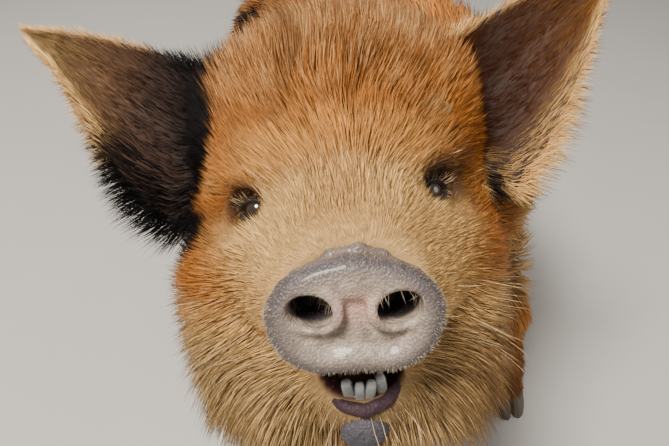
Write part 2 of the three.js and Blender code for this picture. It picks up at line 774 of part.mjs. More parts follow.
for (const [name, spine] of Object.entries(legs)) {
  const leg = legSolid(spine, legCoat(0));
  place(name, largestBody(cutBy(leg, trunkRoom, neckRoom)), GINGER);
  const room = legSolid(spine, legCoat(GAP));
  const foot = spine.at(-1).at;
  for (const [way, side] of Object.entries(sides)) {
    place(name + "_claw_" + way, clawSolid(foot, side), HORN, 0.5);
    place(name + "_dewclaw_" + way, largestBody(cutBy(dewclawSolid(foot, side), room)), HORN, 0.5);
  }
}

for (const [name, side] of Object.entries(sides)) {
  place("tassel_" + name, largestBody(cutBy(tasselSolid(side), headRoom, neckRoom)), GINGER);
}
place("tail", largestBody(cutBy(tailSolid(0), trunkRoom)), GINGER);

pig.position.copy(MODEL_CENTRE).negate();
export default pig;
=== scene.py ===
"""A life-size kunekune pig that looks up at the camera.

The flesh is one field of smooth masses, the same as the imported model's, meshed as one skin. The bare
nose disc, the lids, the mouth, the teeth, the eyes and the hooves are pieces of their own, and the coat
is tufts of hair rooted on the skin that follow its lie and carry its markings.
"""

from __future__ import annotations

import logging
import math
from collections.abc import Callable, Sequence
from dataclasses import dataclass
from enum import Enum

import bpy
import numpy as np
from numpy.typing import NDArray
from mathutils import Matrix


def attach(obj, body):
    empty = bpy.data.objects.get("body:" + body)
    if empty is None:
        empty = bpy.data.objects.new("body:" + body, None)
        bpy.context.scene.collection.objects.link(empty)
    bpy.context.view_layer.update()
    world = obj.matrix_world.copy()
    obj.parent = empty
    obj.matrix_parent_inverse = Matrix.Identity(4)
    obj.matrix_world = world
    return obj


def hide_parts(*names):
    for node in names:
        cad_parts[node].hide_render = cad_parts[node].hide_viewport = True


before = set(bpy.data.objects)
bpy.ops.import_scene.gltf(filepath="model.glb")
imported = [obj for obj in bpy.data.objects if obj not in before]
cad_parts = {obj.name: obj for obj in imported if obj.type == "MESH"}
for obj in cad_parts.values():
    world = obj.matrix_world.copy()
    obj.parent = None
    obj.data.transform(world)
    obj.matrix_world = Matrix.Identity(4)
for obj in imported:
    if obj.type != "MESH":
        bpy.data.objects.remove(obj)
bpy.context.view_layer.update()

Array = NDArray[np.float64]
Mass = Callable[[Array], Array]

log = logging.getLogger("kunekune")

# Driving dimensions in millimetres, as in the solids: +Z up, the pig faces -Y, its left is +X.
MODEL_CENTRE = np.array([-77.0, -62.0, 0.0])
BACK_HEIGHT = 545.0
BELLY_HEIGHT = 150.0
BARREL_HALF_WIDTH = 192.0
EYE_MIDDLE = np.array([-140.0, -460.0, 522.0])
HEAD_TURN = math.radians(12)
HEAD_RISE = math.radians(26)
HEAD_ROLL = math.radians(6.4)
EYE_SPACING = 146.0
EYE_RADIUS = 12.5
DISC_WIDTH = 96.0
DISC_HEIGHT = 73.0
DISC_THICKNESS = 15.0
DISC_FRONT = 153.0
DISC_DROP = 37.0
HOOF_HEIGHT = 34.0
EAR_THICKNESS = 7.0
EAR_LEAN = 0.21
BAKE_PATCH = 0.003

# The camera: a 28 mm lens on a 36 mm frame, above and in front of the pig, looking down at its face
LENS = 28.0
CAMERA_AT = np.array([-216.0, -786.0, 760.0])
CAMERA_PITCH = math.radians(38)
CAMERA_TURN = math.radians(-12)

SIDES = {"right": -1.0, "left": 1.0}


class Coat(Enum):
    """The lengths of hair that the coat is made of."""

    HEAD = "head"
    EARS = "ears"
    BODY = "body"
    WHISKERS = "whiskers"


def unit(v: Array) -> Array:
    """Scales vectors to length one.

    Args:
        v: vectors along the last axis.

    Returns:
        The same directions at unit length.
    """
    return v / np.maximum(np.linalg.norm(v, axis=-1, keepdims=True), 1e-9)


def smooth(low: float, high: float, x: Array) -> Array:
    """A smooth step from 0 at low to 1 at high.

    Args:
        low: where the step starts.
        high: where it ends.
        x: the values to step.

    Returns:
        The stepped values.
    """
    t = np.clip((x - low) / (high - low), 0, 1)
    return t * t * (3 - 2 * t)


def mix(a, b, t):
    """Goes from a to b as t goes from 0 to 1.

    Args:
        a: the value at 0.
        b: the value at 1.
        t: where between them.

    Returns:
        The value between a and b.
    """
    return a + (b - a) * t


def turn_about(axis: int, angle: float) -> Array:
    """A rotation matrix about one axis.

    Args:
        axis: 0, 1 or 2 for x, y or z.
        angle: in radians.

    Returns:
        The 3 by 3 matrix.
    """
    c, s = math.cos(angle), math.sin(angle)
    matrix = np.eye(3)
    i, j = [(1, 2), (2, 0), (0, 1)][axis]
    matrix[i, i] = matrix[j, j] = c
    matrix[i, j], matrix[j, i] = -s, s
    return matrix


HEAD = turn_about(2, -HEAD_TURN) @ turn_about(0, -HEAD_RISE) @ turn_about(1, -HEAD_ROLL)


def on_head(points: Array | Sequence[float]) -> Array:
    """Takes points from the head's frame to the pig's.

    Args:
        points: x to the pig's left, y back, z up, from between the eyes.

    Returns:
        The points in the pig's frame.
    """
    return np.asarray(points, float) @ HEAD.T + EYE_MIDDLE


def head_way(way: Array | Sequence[float]) -> Array:
    """Turns a direction from the head's frame to the pig's.

    Args:
        way: a direction in the head's frame.

    Returns:
        The direction in the pig's frame.
    """
    return np.asarray(way, float) @ HEAD.T


def in_head(points: Array) -> Array:
    """Takes points from the pig's frame to the head's.

    Args:
        points: points in the pig's frame.

    Returns:
        The points in the head's frame.
    """
    return (points - EYE_MIDDLE) @ HEAD


def ellipsoid(centre: Sequence[float], radii: Sequence[float]) -> Mass:
    """A mass with an ellipsoid's shape.

    Args:
        centre: its middle.
        radii: its three half sizes.

    Returns:
        A function from points to their distance outside it.
    """
    c, r = np.array(centre, float), np.array(radii, float)

    def distance(p: Array) -> Array:
        q = (p - c) / r
        k0 = np.linalg.norm(q, axis=-1)
        k1 = np.linalg.norm(q / r, axis=-1)
        return k0 * (k0 - 1) / np.maximum(k1, 1e-9)

    return distance


def taper(start: Array, start_radius: float, end: Array, end_radius: float) -> Mass:
    """A round-ended mass that tapers from one point to another.

    Args:
        start: the first point.
        start_radius: its radius there.
        end: the last point.
        end_radius: its radius there.

    Returns:
        A function from points to their distance outside it.
    """
    a = np.array(start, float)
    way = np.array(end, float) - a
    square = float(way @ way)

    def distance(p: Array) -> Array:
        offset = p - a
        t = np.clip(offset @ way / square, 0, 1)
        near = np.linalg.norm(offset - t[..., None] * way, axis=-1)
        return near - mix(start_radius, end_radius, t)

    return distance


def blend(fillet: float, *masses: Mass) -> Mass:
    """Joins masses one after another with a fillet.

    Args:
        fillet: the fillet's size.
        *masses: the masses to join.

    Returns:
        The joined mass.
    """

    def distance(p: Array) -> Array:
        joined = masses[0](p)
        for mass in masses[1:]:
            other = mass(p)
            h = np.maximum(fillet - np.abs(joined - other), 0) / fillet
            joined = np.minimum(joined, other) - h * h * fillet / 4
        return joined

    return distance


def hollow(fillet: float, mass: Mass, cutter: Mass) -> Mass:
    """Hollows a mass out by another one.

    Args:
        fillet: the rounding at the brink.
        mass: what is hollowed.
        cutter: what is taken away.

    Returns:
        The mass that is left.
    """

    def distance(p: Array) -> Array:
        kept, cut = mass(p), -cutter(p)
        h = np.maximum(fillet - np.abs(kept - cut), 0) / fillet
        return np.maximum(kept, cut) + h * h * fillet / 4

    return distance


def noise(p: Array, scale: float, seed: int = 0) -> Array:
    """Smooth value noise in space.

    Args:
        p: points.
        scale: the size of its features, in the points' unit.
        seed: picks another noise.

    Returns:
        Values from -1 to 1.
    """
    q = p / scale + seed * 17.31
    base = np.floor(q).astype(np.int64)
    t = q - base
    t = t * t * (3 - 2 * t)
    total = np.zeros(len(p))
    for corner in range(8):
        bits = np.array([corner & 1, corner >> 1 & 1, corner >> 2 & 1])
        cell = base + bits
        mixed = cell[:, 0] * 73856093 ^ cell[:, 1] * 19349663 ^ cell[:, 2] * 83492791
        mixed = (mixed ^ (mixed >> 13)) * 1274126177 & 0xFFFFFF
        weight = np.prod(np.where(bits, t, 1 - t), axis=1)
        total += weight * (mixed / 0x7FFFFF - 1)
    return total


@dataclass(frozen=True)
class Leg:
    """A leg's joints, from hip or shoulder to the fetlock.

    Attributes:
        name: the node's name.
        joints: x, y, z and radius of each joint.
    """

    name: str
    joints: tuple[tuple[float, float, float, float], ...]

    def field(self) -> Mass:
        """The leg's flesh.

        Returns:
            Its mass.
        """
        pairs = zip(self.joints, self.joints[1:])
        return blend(14, *(taper(a[:3], a[3], b[:3], b[3]) for a, b in pairs))

    @property
    def foot(self) -> Array:
        """Where the leg meets its hoof."""
        return np.array(self.joints[-1][:3])


def make_leg(name: str, side: float, joints: Sequence[tuple[float, float, float, float]]) -> Leg:
    """Builds a leg on one side.

    Args:
        name: the node's name.
        side: -1 for the pig's right, 1 for its left.
        joints: x outwards, y, z and radius of each joint.

    Returns:
        The leg.
    """
    return Leg(name, tuple((side * x, y, z, r) for x, y, z, r in joints))


LEGS = (
    make_leg("foreleg_right", -1, [
        (108, -165, 300, 60), (120, -192, 222, 52), (124, -214, 136, 39),
        (122, -226, 70, 25), (122, -238, HOOF_HEIGHT, 25),
    ]),
    make_leg("foreleg_left", 1, [
        (108, -180, 300, 60), (128, -232, 226, 52), (152, -292, 142, 39),
        (157, -334, 72, 25), (159, -352, HOOF_HEIGHT, 25),
    ]),
    make_leg("hindleg_right", -1, [
        (112, 285, 310, 96), (128, 268, 226, 68), (118, 338, 150, 37),
        (116, 322, 72, 25), (116, 308, HOOF_HEIGHT, 25),
    ]),
    make_leg("hindleg_left", 1, [
        (112, 292, 310, 96), (128, 286, 226, 68), (120, 362, 150, 37),
        (118, 348, 72, 25), (118, 334, HOOF_HEIGHT, 25),
    ]),
)


def eye_centre(side: float) -> Array:
    """The middle of an eyeball, in the head's frame.

    Args:
        side: -1 for the pig's right, 1 for its left.

    Returns:
        The point.
    """
    return np.array([side * (EYE_SPACING / 2 - 7), 9, -3])


def eye_way(side: float) -> Array:
    """The way an eye looks, in the head's frame.

    Args:
        side: -1 for the pig's right, 1 for its left.

    Returns:
        The direction.
    """
    return unit(np.array([side * 0.58, -0.78, 0.22]))


def gaze(side: float) -> Array:
    """The way the lids open, in the head's frame: further forward than the socket.

    Args:
        side: -1 for the pig's right, 1 for its left.

    Returns:
        The direction.
    """
    return unit(np.array([side * 0.42, -0.88, 0.24]))


def lid_frame(side: float) -> Array:
    """The axes of the lids: along the slit, inwards and upwards.

    Args:
        side: -1 for the pig's right, 1 for its left.

    Returns:
        A matrix whose columns are the axes, in the head's frame.
    """
    return frame_along(gaze(side), np.array([side * 0.1, 0, 1.0]))


def eyeball_centre(side: float) -> Array:
    """The middle of the eyeball that the lids lie on, in the head's frame.

    Args:
        side: -1 for the pig's right, 1 for its left.

    Returns:
        The point.
    """
    return eye_centre(side) + gaze(side) * 3.0


class Anatomy:
    """The pig's flesh as fields of masses, in millimetres."""

    def __init__(self) -> None:
        two = (-1.0, 1.0)
        barrel_middle = (BACK_HEIGHT + BELLY_HEIGHT) / 2
        barrel_half = (BACK_HEIGHT - BELLY_HEIGHT) / 2
        fleshed = blend(
            32,
            ellipsoid((0, 98, 36), (108, 98, 92)),
            ellipsoid((0, 155, 64), (100, 92, 90)),
            ellipsoid((0, 22, 10), (66, 54, 42)),
            *(taper((s * 14, 20, -40), 66, (s * 12, -124, -DISC_DROP - 2), 34) for s in two),
            *(ellipsoid((s * 38, -38, -50), (32, 50, 28)) for s in two),
            *(ellipsoid((s * 60, 22, 26), (34, 34, 17)) for s in two),
            *(ellipsoid((s * 64, 14, -42), (38, 58, 28)) for s in two),
            *(ellipsoid((s * 76 - 7, 42, -48), (42, 62, 46)) for s in two),
            *(ellipsoid((s * 66 - 8, 58, -90), (60, 94, 62)) for s in two),
            *(ellipsoid((s * 62 - 7, 14, -128), (50, 66, 46)) for s in two),
            *(ellipsoid((s * 94, 92, 62), (26, 34, 44)) for s in two),
            *(ellipsoid((s * 38 - 3, -46, -125), (31, 48, 27)) for s in two),
            taper((0, 80, -112), 60, (0, -93, -110), 31),
            taper((0, 60, -30), 90, (0, 190, -40), 118),
        )
        sockets = blend(4, *(self.socket(s) for s in two))
        mouth = ellipsoid((1, -116, -91), (23, 42, 12))
        ahead: Mass = lambda p: p[:, 1] + DISC_FRONT - 26
        face = hollow(6, hollow(5, hollow(5, fleshed, sockets), mouth), ahead)
        self.head: Mass = lambda p: face(in_head(p))
        self.unopened: Mass = lambda p: fleshed(in_head(p))
        trunk = blend(
            60,
            ellipsoid((0, 95, barrel_middle + 4), (BARREL_HALF_WIDTH, 330, barrel_half)),
            ellipsoid((0, -140, 372), (178, 185, 186)),
            ellipsoid((0, -215, 305), (122, 118, 128)),
            ellipsoid((0, 290, 368), (180, 158, 176)),
            *(ellipsoid((s * 92, 300, 300), (92, 118, 120)) for s in two),
            *(ellipsoid((s * 100, -180, 310), (78, 92, 108)) for s in two),
            ellipsoid((0, 110, 262), (158, 250, 118)),
        )
        neck = taper((0, -150, 405), 158, on_head((0, 120, 6)), 118)
        core = blend(48, blend(60, trunk, neck), self.head)
        self.skin: Mass = blend(22, core, *(leg.field() for leg in LEGS))

    @staticmethod
    def socket(side: float) -> Mass:
        """The hollow that an eye lies in, in the head's frame.

        Args:
            side: -1 for the pig's right, 1 for its left.

        Returns:
            Its mass.
        """
        middle = eye_centre(side) + gaze(side) * 21
        turn = lid_frame(side)
        shape = ellipsoid((0, 0, 0), (20, 21, 17))
        return lambda p: shape((p - middle) @ turn)

    def normal(self, p: Array, step: float = 1.5) -> Array:
        """The skin's outward normal.

        Args:
            p: points at the skin.
            step: the size of the differences.

        Returns:
            Unit normals.
        """
        slope = np.empty_like(p)
        for axis in range(3):
            shift = np.zeros(3)
            shift[axis] = step
            slope[:, axis] = self.skin(p + shift) - self.skin(p - shift)
        return unit(slope)

    def settle(self, p: Array, rounds: int = 3) -> Array:
        """Moves points onto the skin along its normal.

        Args:
            p: points near the skin.
            rounds: how often to step.

        Returns:
            The points on the skin.
        """
        for _ in range(rounds):
            p = p - self.normal(p) * np.clip(self.skin(p), -6, 6)[:, None] * 0.9
        return p


@dataclass
class Surface:
    """A mesh in millimetres before it becomes a piece.

    Attributes:
        points: the vertices.
        faces: rows of three or four vertex numbers.
        tint: a linear colour for each vertex, or None.
    """

    points: Array
    faces: NDArray[np.int64]
    tint: Array | None = None

    def joined(self, other: Surface) -> Surface:
        """This surface and another in one.

        Args:
            other: a surface with faces of as many corners.

        Returns:
            Both together.
        """
        tint = None
        if self.tint is not None and other.tint is not None:
            tint = np.vstack([self.tint, other.tint])
        faces = np.vstack([self.faces, other.faces + len(self.points)])
        return Surface(np.vstack([self.points, other.points]), faces, tint)


def surface_net(mass: Mass, axes: Sequence[Array], block: int = 4) -> Surface:
    """Meshes the zero surface of a mass with one vertex in each crossed cell.

    Args:
        mass: the field.
        axes: the grid's coordinates along x, y and z.
        block: the size of the blocks that are skipped when far from the surface.

    Returns:
        A surface of quads.
    """
    axes = [a[: (len(a) - 1) // block * block + 1] for a in axes]
    shape = tuple(len(a) for a in axes)
    coarse_axes = [a[::block] for a in axes]
    coarse = np.stack(np.meshgrid(*coarse_axes, indexing="ij"), -1)
    values = in_chunks(mass, coarse.reshape(-1, 3)).reshape(coarse.shape[:3])
    steps = [np.diff(a) for a in coarse_axes]
    size = np.sqrt(
        steps[0][:, None, None] ** 2 + steps[1][None, :, None] ** 2 + steps[2][None, None, :] ** 2
    )
    nearest = np.full(size.shape, np.inf)
    for corner in np.ndindex(2, 2, 2):
        part = tuple(slice(c, n + c) for c, n in zip(corner, size.shape))
        nearest = np.minimum(nearest, np.abs(values[part]))
    live = nearest < size * 1.6
    sign = np.sign(values[:-1, :-1, :-1])
    full = np.zeros(shape)
    wanted = np.zeros(shape, bool)
    fine_live = live.repeat(block, 0).repeat(block, 1).repeat(block, 2)
    fine_sign = sign.repeat(block, 0).repeat(block, 1).repeat(block, 2)
    full[:-1, :-1, :-1] = fine_sign * 100
    full[-1], full[:, -1], full[:, :, -1] = 100, 100, 100
    for corner in np.ndindex(2, 2, 2):
        part = tuple(slice(c, n + c) for c, n in zip(corner, fine_live.shape))
        wanted[part] |= fine_live
    where = np.argwhere(wanted)
    at = np.stack([axes[k][where[:, k]] for k in range(3)], -1)
    full[wanted] = in_chunks(mass, at)
    inside = full < 0
    cell_shape = tuple(n - 1 for n in shape)
    count = np.zeros(cell_shape, np.int8)
    for corner in np.ndindex(2, 2, 2):
        count += inside[tuple(slice(c, n + c) for c, n in zip(corner, cell_shape))]
    cells = np.argwhere((count > 0) & (count < 8))
    number = np.full(cell_shape, -1, np.int64)
    number[tuple(cells.T)] = np.arange(len(cells))
    total = np.zeros((len(cells), 3))
    hits = np.zeros(len(cells))
    for axis in range(3):
        others = [k for k in range(3) if k != axis]
        for a in range(2):
            for b in range(2):
                low = cells.copy()
                low[:, others[0]] += a
                low[:, others[1]] += b
                high = low.copy()
                high[:, axis] += 1
                v0, v1 = full[tuple(low.T)], full[tuple(high.T)]
                crossed = (v0 < 0) != (v1 < 0)
                t = np.where(crossed, v0 / np.where(v0 == v1, 1, v0 - v1), 0)
                p0 = np.stack([axes[k][low[:, k]] for k in range(3)], -1)
                p1 = np.stack([axes[k][high[:, k]] for k in range(3)], -1)
                total += np.where(crossed[:, None], p0 + (p1 - p0) * t[:, None], 0)
                hits += crossed
    points = total / hits[:, None]
    quads = []
    for axis in range(3):
        u, v = [(1, 2), (2, 0), (0, 1)][axis]
        first = [slice(None)] * 3
        second = [slice(None)] * 3
        first[axis], second[axis] = slice(0, -1), slice(1, None)
        s0, s1 = inside[tuple(first)], inside[tuple(second)]
        edges = np.argwhere(s0 != s1)
        good = np.ones(len(edges), bool)
        for k in (u, v):
            good &= (edges[:, k] > 0) & (edges[:, k] < shape[k] - 1)
        edges = edges[good]
        corners = []
        for du, dv in ((-1, -1), (0, -1), (0, 0), (-1, 0)):
            cell = edges.copy()
            cell[:, u] += du
            cell[:, v] += dv
            corners.append(number[tuple(cell.T)])
        quad = np.stack(corners, -1)
        flip = ~s0[tuple(edges.T)]
        quad[flip] = quad[flip][:, ::-1]
        quads.append(quad)
    return Surface(points, np.vstack(quads))


def in_chunks(mass: Mass, points: Array, size: int = 200_000) -> Array:
    """Evaluates a mass a part at a time, to save memory.

    Args:
        mass: the field.
        points: where.
        size: how many points at a time.

    Returns:
        The field's values.
    """
    parts = [mass(points[i : i + size]) for i in range(0, len(points), size)]
    return np.concatenate(parts) if parts else np.zeros(0)


def grid_axis(*stretches: tuple[float, float, float]) -> Array:
    """Coordinates with another spacing in each stretch.

    Args:
        *stretches: start, end and spacing of each.

    Returns:
        Rising coordinates.
    """
    parts = [np.linspace(a, b, max(int(round((b - a) / d)), 1) + 1) for a, b, d in stretches]
    return np.unique(np.round(np.concatenate(parts), 6))


def sheet_faces(rows: int, columns: int, closed: bool) -> NDArray[np.int64]:
    """The quads of a grid of points.

    Args:
        rows: how many rows of points.
        columns: how many points in each.
        closed: whether each row closes on itself.

    Returns:
        The quads.
    """
    last = columns if closed else columns - 1
    r, c = np.meshgrid(np.arange(rows - 1), np.arange(last), indexing="ij")
    r, c = r.ravel(), c.ravel()
    after = (c + 1) % columns
    return np.stack(
        [r * columns + c, r * columns + after, (r + 1) * columns + after, (r + 1) * columns + c], -1
    )


class Ear:
    """One ear: a thin cupped leaf from the side of the skull."""

    ROWS = np.array([
        (88, 110, 88, 20), (112, 132, 118, 2), (138, 147, 152, -6), (166, 158, 178, 22),
        (196, 168, 200, 58), (228, 175, 223, 106), (248, 176, 240, 146), (260, 178, 258, 171),
    ], float)
    STEPS = 60
    ACROSS = 40

    def __init__(self, name: str, side: float) -> None:
        self.name = name
        self.side = side

    def points(self, row: Array, across: Array, depth: Array) -> Array:
        """Points of the ear.

        Args:
            row: 0 at the root to 1 at the tip.
            across: 0 at the upper edge to 1 at the lower one.
            depth: how far behind the cupped face.

        Returns:
            The points in the pig's frame.
        """
        places = np.linspace(0, 1, len(self.ROWS))
        x0, z0, x1, z1 = (np.interp(row, places, self.ROWS[:, k]) for k in range(4))
        height = mix(z0, z1, across)
        open_ = np.sin(np.pi * across)
        cupped = mix(30, 4, row) * open_ - 8 * across**2 * (1 - row)
        fold = 2.2 * np.sin(across * 21 + row * 3) * open_ * (1 - row) ** 0.5
        back = mix(66, 36, row) + cupped + depth + fold
        c, d = math.cos(EAR_LEAN), math.sin(EAR_LEAN)
        x = self.side * mix(x0, x1, across)
        return on_head(np.stack([x, height * d + back * c, height * c - back * d], -1))

    def surface(self) -> Surface:
        """The ear's closed leaf.

        Returns:
            A surface of quads.
        """
        r = np.linspace(0, 1, self.STEPS)
        s = np.linspace(0, 1, self.ACROSS)
        row, across = np.meshgrid(r, s, indexing="ij")
        thick = mix(1.6, EAR_THICKNESS, np.sin(np.pi * across)) * mix(1, 0.7, row)
        face = self.points(row.ravel(), across.ravel(), np.zeros(row.size))
        rear = self.points(row.ravel(), across.ravel(), thick.ravel())
        both = np.concatenate(
            [face.reshape(self.STEPS, self.ACROSS, 3), rear.reshape(self.STEPS, self.ACROSS, 3)[:, ::-1]],
            axis=1,
        )
        faces = sheet_faces(self.STEPS, 2 * self.ACROSS, True)
        if self.side < 0:
            faces = faces[:, ::-1]
        return Surface(both.reshape(-1, 3), faces)


def tube(path: Array, radii: Array, around: int = 24, steps: int = 40) -> Surface:
    """A tube along a smooth path, closed at its far end.

    Args:
        path: points that it passes.
        radii: its radius at each of them.
        around: points around it.
        steps: rings along it.

    Returns:
        A surface of quads.
    """
    t = np.linspace(0, 1, len(path))
    fine = np.linspace(0, 1, steps)
    curve = np.stack([np.interp(fine, t, path[:, k]) for k in range(3)], -1)
    for _ in range(6):
        curve[1:-1] = (curve[:-2] + 2 * curve[1:-1] + curve[2:]) / 4
    radius = np.interp(fine, t, radii)
    end = np.clip((1 - fine) * steps / 3, 0, 1)
    radius = radius * np.sqrt(1 - (1 - end) ** 2) + 0.05
    along = unit(np.gradient(curve, axis=0))
    side = unit(np.cross(along, np.array([0.13, 0.02, 1.0])))
    up = np.cross(side, along)
    angle = np.linspace(0, 2 * np.pi, around, endpoint=False)
    ring = (
        side[:, None] * np.cos(angle)[None, :, None] + up[:, None] * np.sin(angle)[None, :, None]
    )
    points = curve[:, None] + ring * radius[:, None, None]
    return Surface(points.reshape(-1, 3), sheet_faces(steps, around, True)[:, ::-1])


def ball(
    centre: Array, radii: Sequence[float], turn: Array, around: int = 40, power: float = 1.0
) -> Surface:
    """An ellipsoid with its poles along its own y.

    Args:
        centre: its middle, in the pig's frame.
        radii: its half sizes.
        turn: a matrix whose columns are its own axes.
        around: points around it.
        power: below 1 for a squarer shape.

    Returns:
        A surface of quads.
    """
    down = np.linspace(0.0004, np.pi - 0.0004, around // 2)
    angle = np.linspace(0, 2 * np.pi, around, endpoint=False)
    a, b = np.meshgrid(down, angle, indexing="ij")
    local = np.stack([np.sin(a) * np.cos(b), -np.cos(a), np.sin(a) * np.sin(b)], -1)
    local = np.sign(local) * np.abs(local) ** power
    points = (local.reshape(-1, 3) * np.array(radii, float)) @ turn.T + centre
    return Surface(points, sheet_faces(len(down), around, True)[:, ::-1])


def frame_along(way: Array, up: Array) -> Array:
    """A turn whose -y axis is a given way.

    Args:
        way: where -y goes.
        up: roughly where z goes.

    Returns:
        A matrix whose columns are the turned axes.
    """
    y = -unit(way)
    x = unit(np.cross(y, up))
    return np.stack([x, y, np.cross(x, y)], -1)


class NoseDisc:
    """The bare disc at the end of the snout, with its rolled rim and two nostrils."""

    GRID = 0.95
    FOLD = (
        (-33, 2, 14, 2.0), (-24, 0, 22.5, 2.8), (-11, -3, 31, 3.2), (4, -3.5, 33.6, 3.4),
        (16, -2, 29.5, 3.0), (27, 1, 21.5, 2.4), (36, 4, 12, 2.0),
    )

    def outline(self, angle: Array) -> Array:
        """The disc's radius.

        Args:
            angle: about its middle, from the pig's left and up.

        Returns:
            The radius at each angle.
        """
        c, s = np.cos(angle), np.sin(angle)
        power = np.where(s > 0, 1.75, 2.3)
        r = (np.abs(c) ** power + np.abs(s) ** power) ** (-1 / power)
        peak = 1.8 * np.exp(-((np.degrees(angle - np.pi / 2) / 26) ** 2))
        x = c * r * DISC_WIDTH / 2 * np.where(s > 0, 1 - 0.05 * s, 1 + 0.03 * s)
        z = s * r * (DISC_HEIGHT / 2 - np.where(s > 0, 6.0, 3.5)) + np.where(s > 0, peak, 0)
        return np.hypot(x, z)

    def field(self, p: Array) -> Array:
        """The disc as a mass, in its own frame.

        Args:
            p: x left, y back and z up from the middle of its back.

        Returns:
            The distance outside it.
        """
        x, out, z = p[:, 0], -p[:, 1], p[:, 2]
        radius = self.outline(np.arctan2(z, x))
        far = np.hypot(x, z)
        edge = far - radius - 0.4 * np.sin(np.arctan2(z, x) * 23 + 2 * np.sin(z / 9))
        edge = edge + 0.8 * np.maximum(3 - out, 0)
        lean = 1 + 0.0035 * z
        front = out - 12.6 * lean + 1.6 * np.exp(-((far / 30) ** 2))
        front = front + 0.35 * np.sin(x / 2.7 + 1.3 * np.sin(z / 5)) * smooth(6, 20, far)
        h = np.maximum(11 - np.abs(edge - front), 0) / 11
        slab = np.maximum(edge, front) + h * h * 11 / 4
        rim = np.hypot(far - radius + 8.5, out - 8.6 * lean) - 7.6
        h = np.maximum(5 - np.abs(slab - rim), 0) / 5
        mass = np.minimum(slab, rim) - h * h * 5 / 4
        brow = ellipsoid((0, -12, 15), (30, 4.5, 5))(p)
        h = np.maximum(6 - np.abs(mass - brow), 0) / 6
        mass = np.minimum(mass, brow) - h * h * 6 / 4
        for side in (-1.0, 1.0):
            turned = frame_along(np.array([side * 0.3, -1, 0.1]), np.array([side * -0.18, 0, 1.0]))
            q = (p - np.array([side * 22.5, -9, 4.5])) @ turned
            collar = np.hypot(np.hypot(q[:, 0] / 15, q[:, 2] / 11) * 13 - 13, q[:, 1] + 3.0) - 2.9
            h = np.maximum(5 - np.abs(mass - collar), 0) / 5
            mass = np.minimum(mass, collar) - h * h * 5 / 4
            pit = ellipsoid((0, 0, 0), (12, 18.5, 8.8))(q)
            h = np.maximum(3.5 - np.abs(mass + pit), 0) / 3.5
            mass = np.maximum(mass, -pit) + h * h * 3.5 / 4
        fold = blend(3, *(taper(a[:3], a[3], b[:3], b[3]) for a, b in zip(self.FOLD, self.FOLD[1:])))(p)
        h = np.maximum(1.6 - np.abs(mass - fold), 0) / 1.6
        mass = np.minimum(mass, fold) - h * h * 1.6 / 4
        return np.maximum(mass, p[:, 1] - 11)

    def to_pig(self, p: Array) -> Array:
        """Takes points from the disc's frame to the pig's.

        Args:
            p: points in the disc's frame.

        Returns:
            The points in the pig's frame.
        """
        turned = p @ turn_about(1, 0.06).T
        return on_head(turned + np.array([0, -DISC_FRONT + DISC_THICKNESS, -DISC_DROP]))

    def surface(self) -> Surface:
        """The disc's mesh and its colours.

        Returns:
            A surface of quads.
        """
        net = surface_net(
            self.field,
            (
                grid_axis((-54, 54, self.GRID)),
                grid_axis((-20, 13, self.GRID)),
                grid_axis((-42, 46, self.GRID)),
            ),
        )
        p = net.points
        x, out, z = p[:, 0], -p[:, 1], p[:, 2]
        far = np.hypot(x, z) / self.outline(np.arctan2(z, x))
        slate = np.array([0.05, 0.038, 0.042])
        dust = np.array([0.34, 0.265, 0.2])
        pink = np.array([0.5, 0.28, 0.225])
        dark = np.array([0.006, 0.004, 0.004])
        grain = noise(p, 5, 3) * 0.5 + noise(p, 2, 4) * 0.5
        dusty = smooth(0.98, 0.62, far + 0.1 * grain) * smooth(2, 9, out)
        tint = mix(slate * 0.9, slate * 1.5, smooth(-0.4, 0.6, grain)[:, None])
        tint = mix(tint, dust, (dusty * mix(0.5, 0.95, smooth(-0.5, 0.5, grain)))[:, None])
        # Painted shade: a dark line in the crease between the disc's top and the fold above it.
        crease_shade = smooth(2.4, 0.5, np.abs(z - 32.6 + 0.0165 * x * x)) * smooth(36, 28, np.abs(x)) * smooth(10.5, 7.5, out)
        tint = mix(tint, dark, (crease_shade * 0.75)[:, None])
        above = smooth(31, 34, z + 0.017 * x * x) * smooth(40, 34, np.abs(x)) * smooth(12, 8, out)
        tint = mix(tint, np.array([0.14, 0.1, 0.075]), (above * 0.8)[:, None])
        rosy = np.exp(-(((x - 1) / 10) ** 2 + ((z - 5) / 9) ** 2)) * smooth(5, 10, out)
        tint = mix(tint, pink, (rosy * 0.85)[:, None])
        # Painted shade: the insides of the nostrils darken to near black.
        pit = np.zeros(len(p))
        for side in (-1.0, 1.0):
            near = np.hypot((x - side * 23.5) / 12.5, (z - 4.5) / 9.4)
            pit = np.maximum(pit, smooth(1.12, 0.75, near) * smooth(10.5, 4, out))
        tint = mix(tint, dark, pit[:, None])
        return Surface(self.to_pig(p), net.faces, tint)


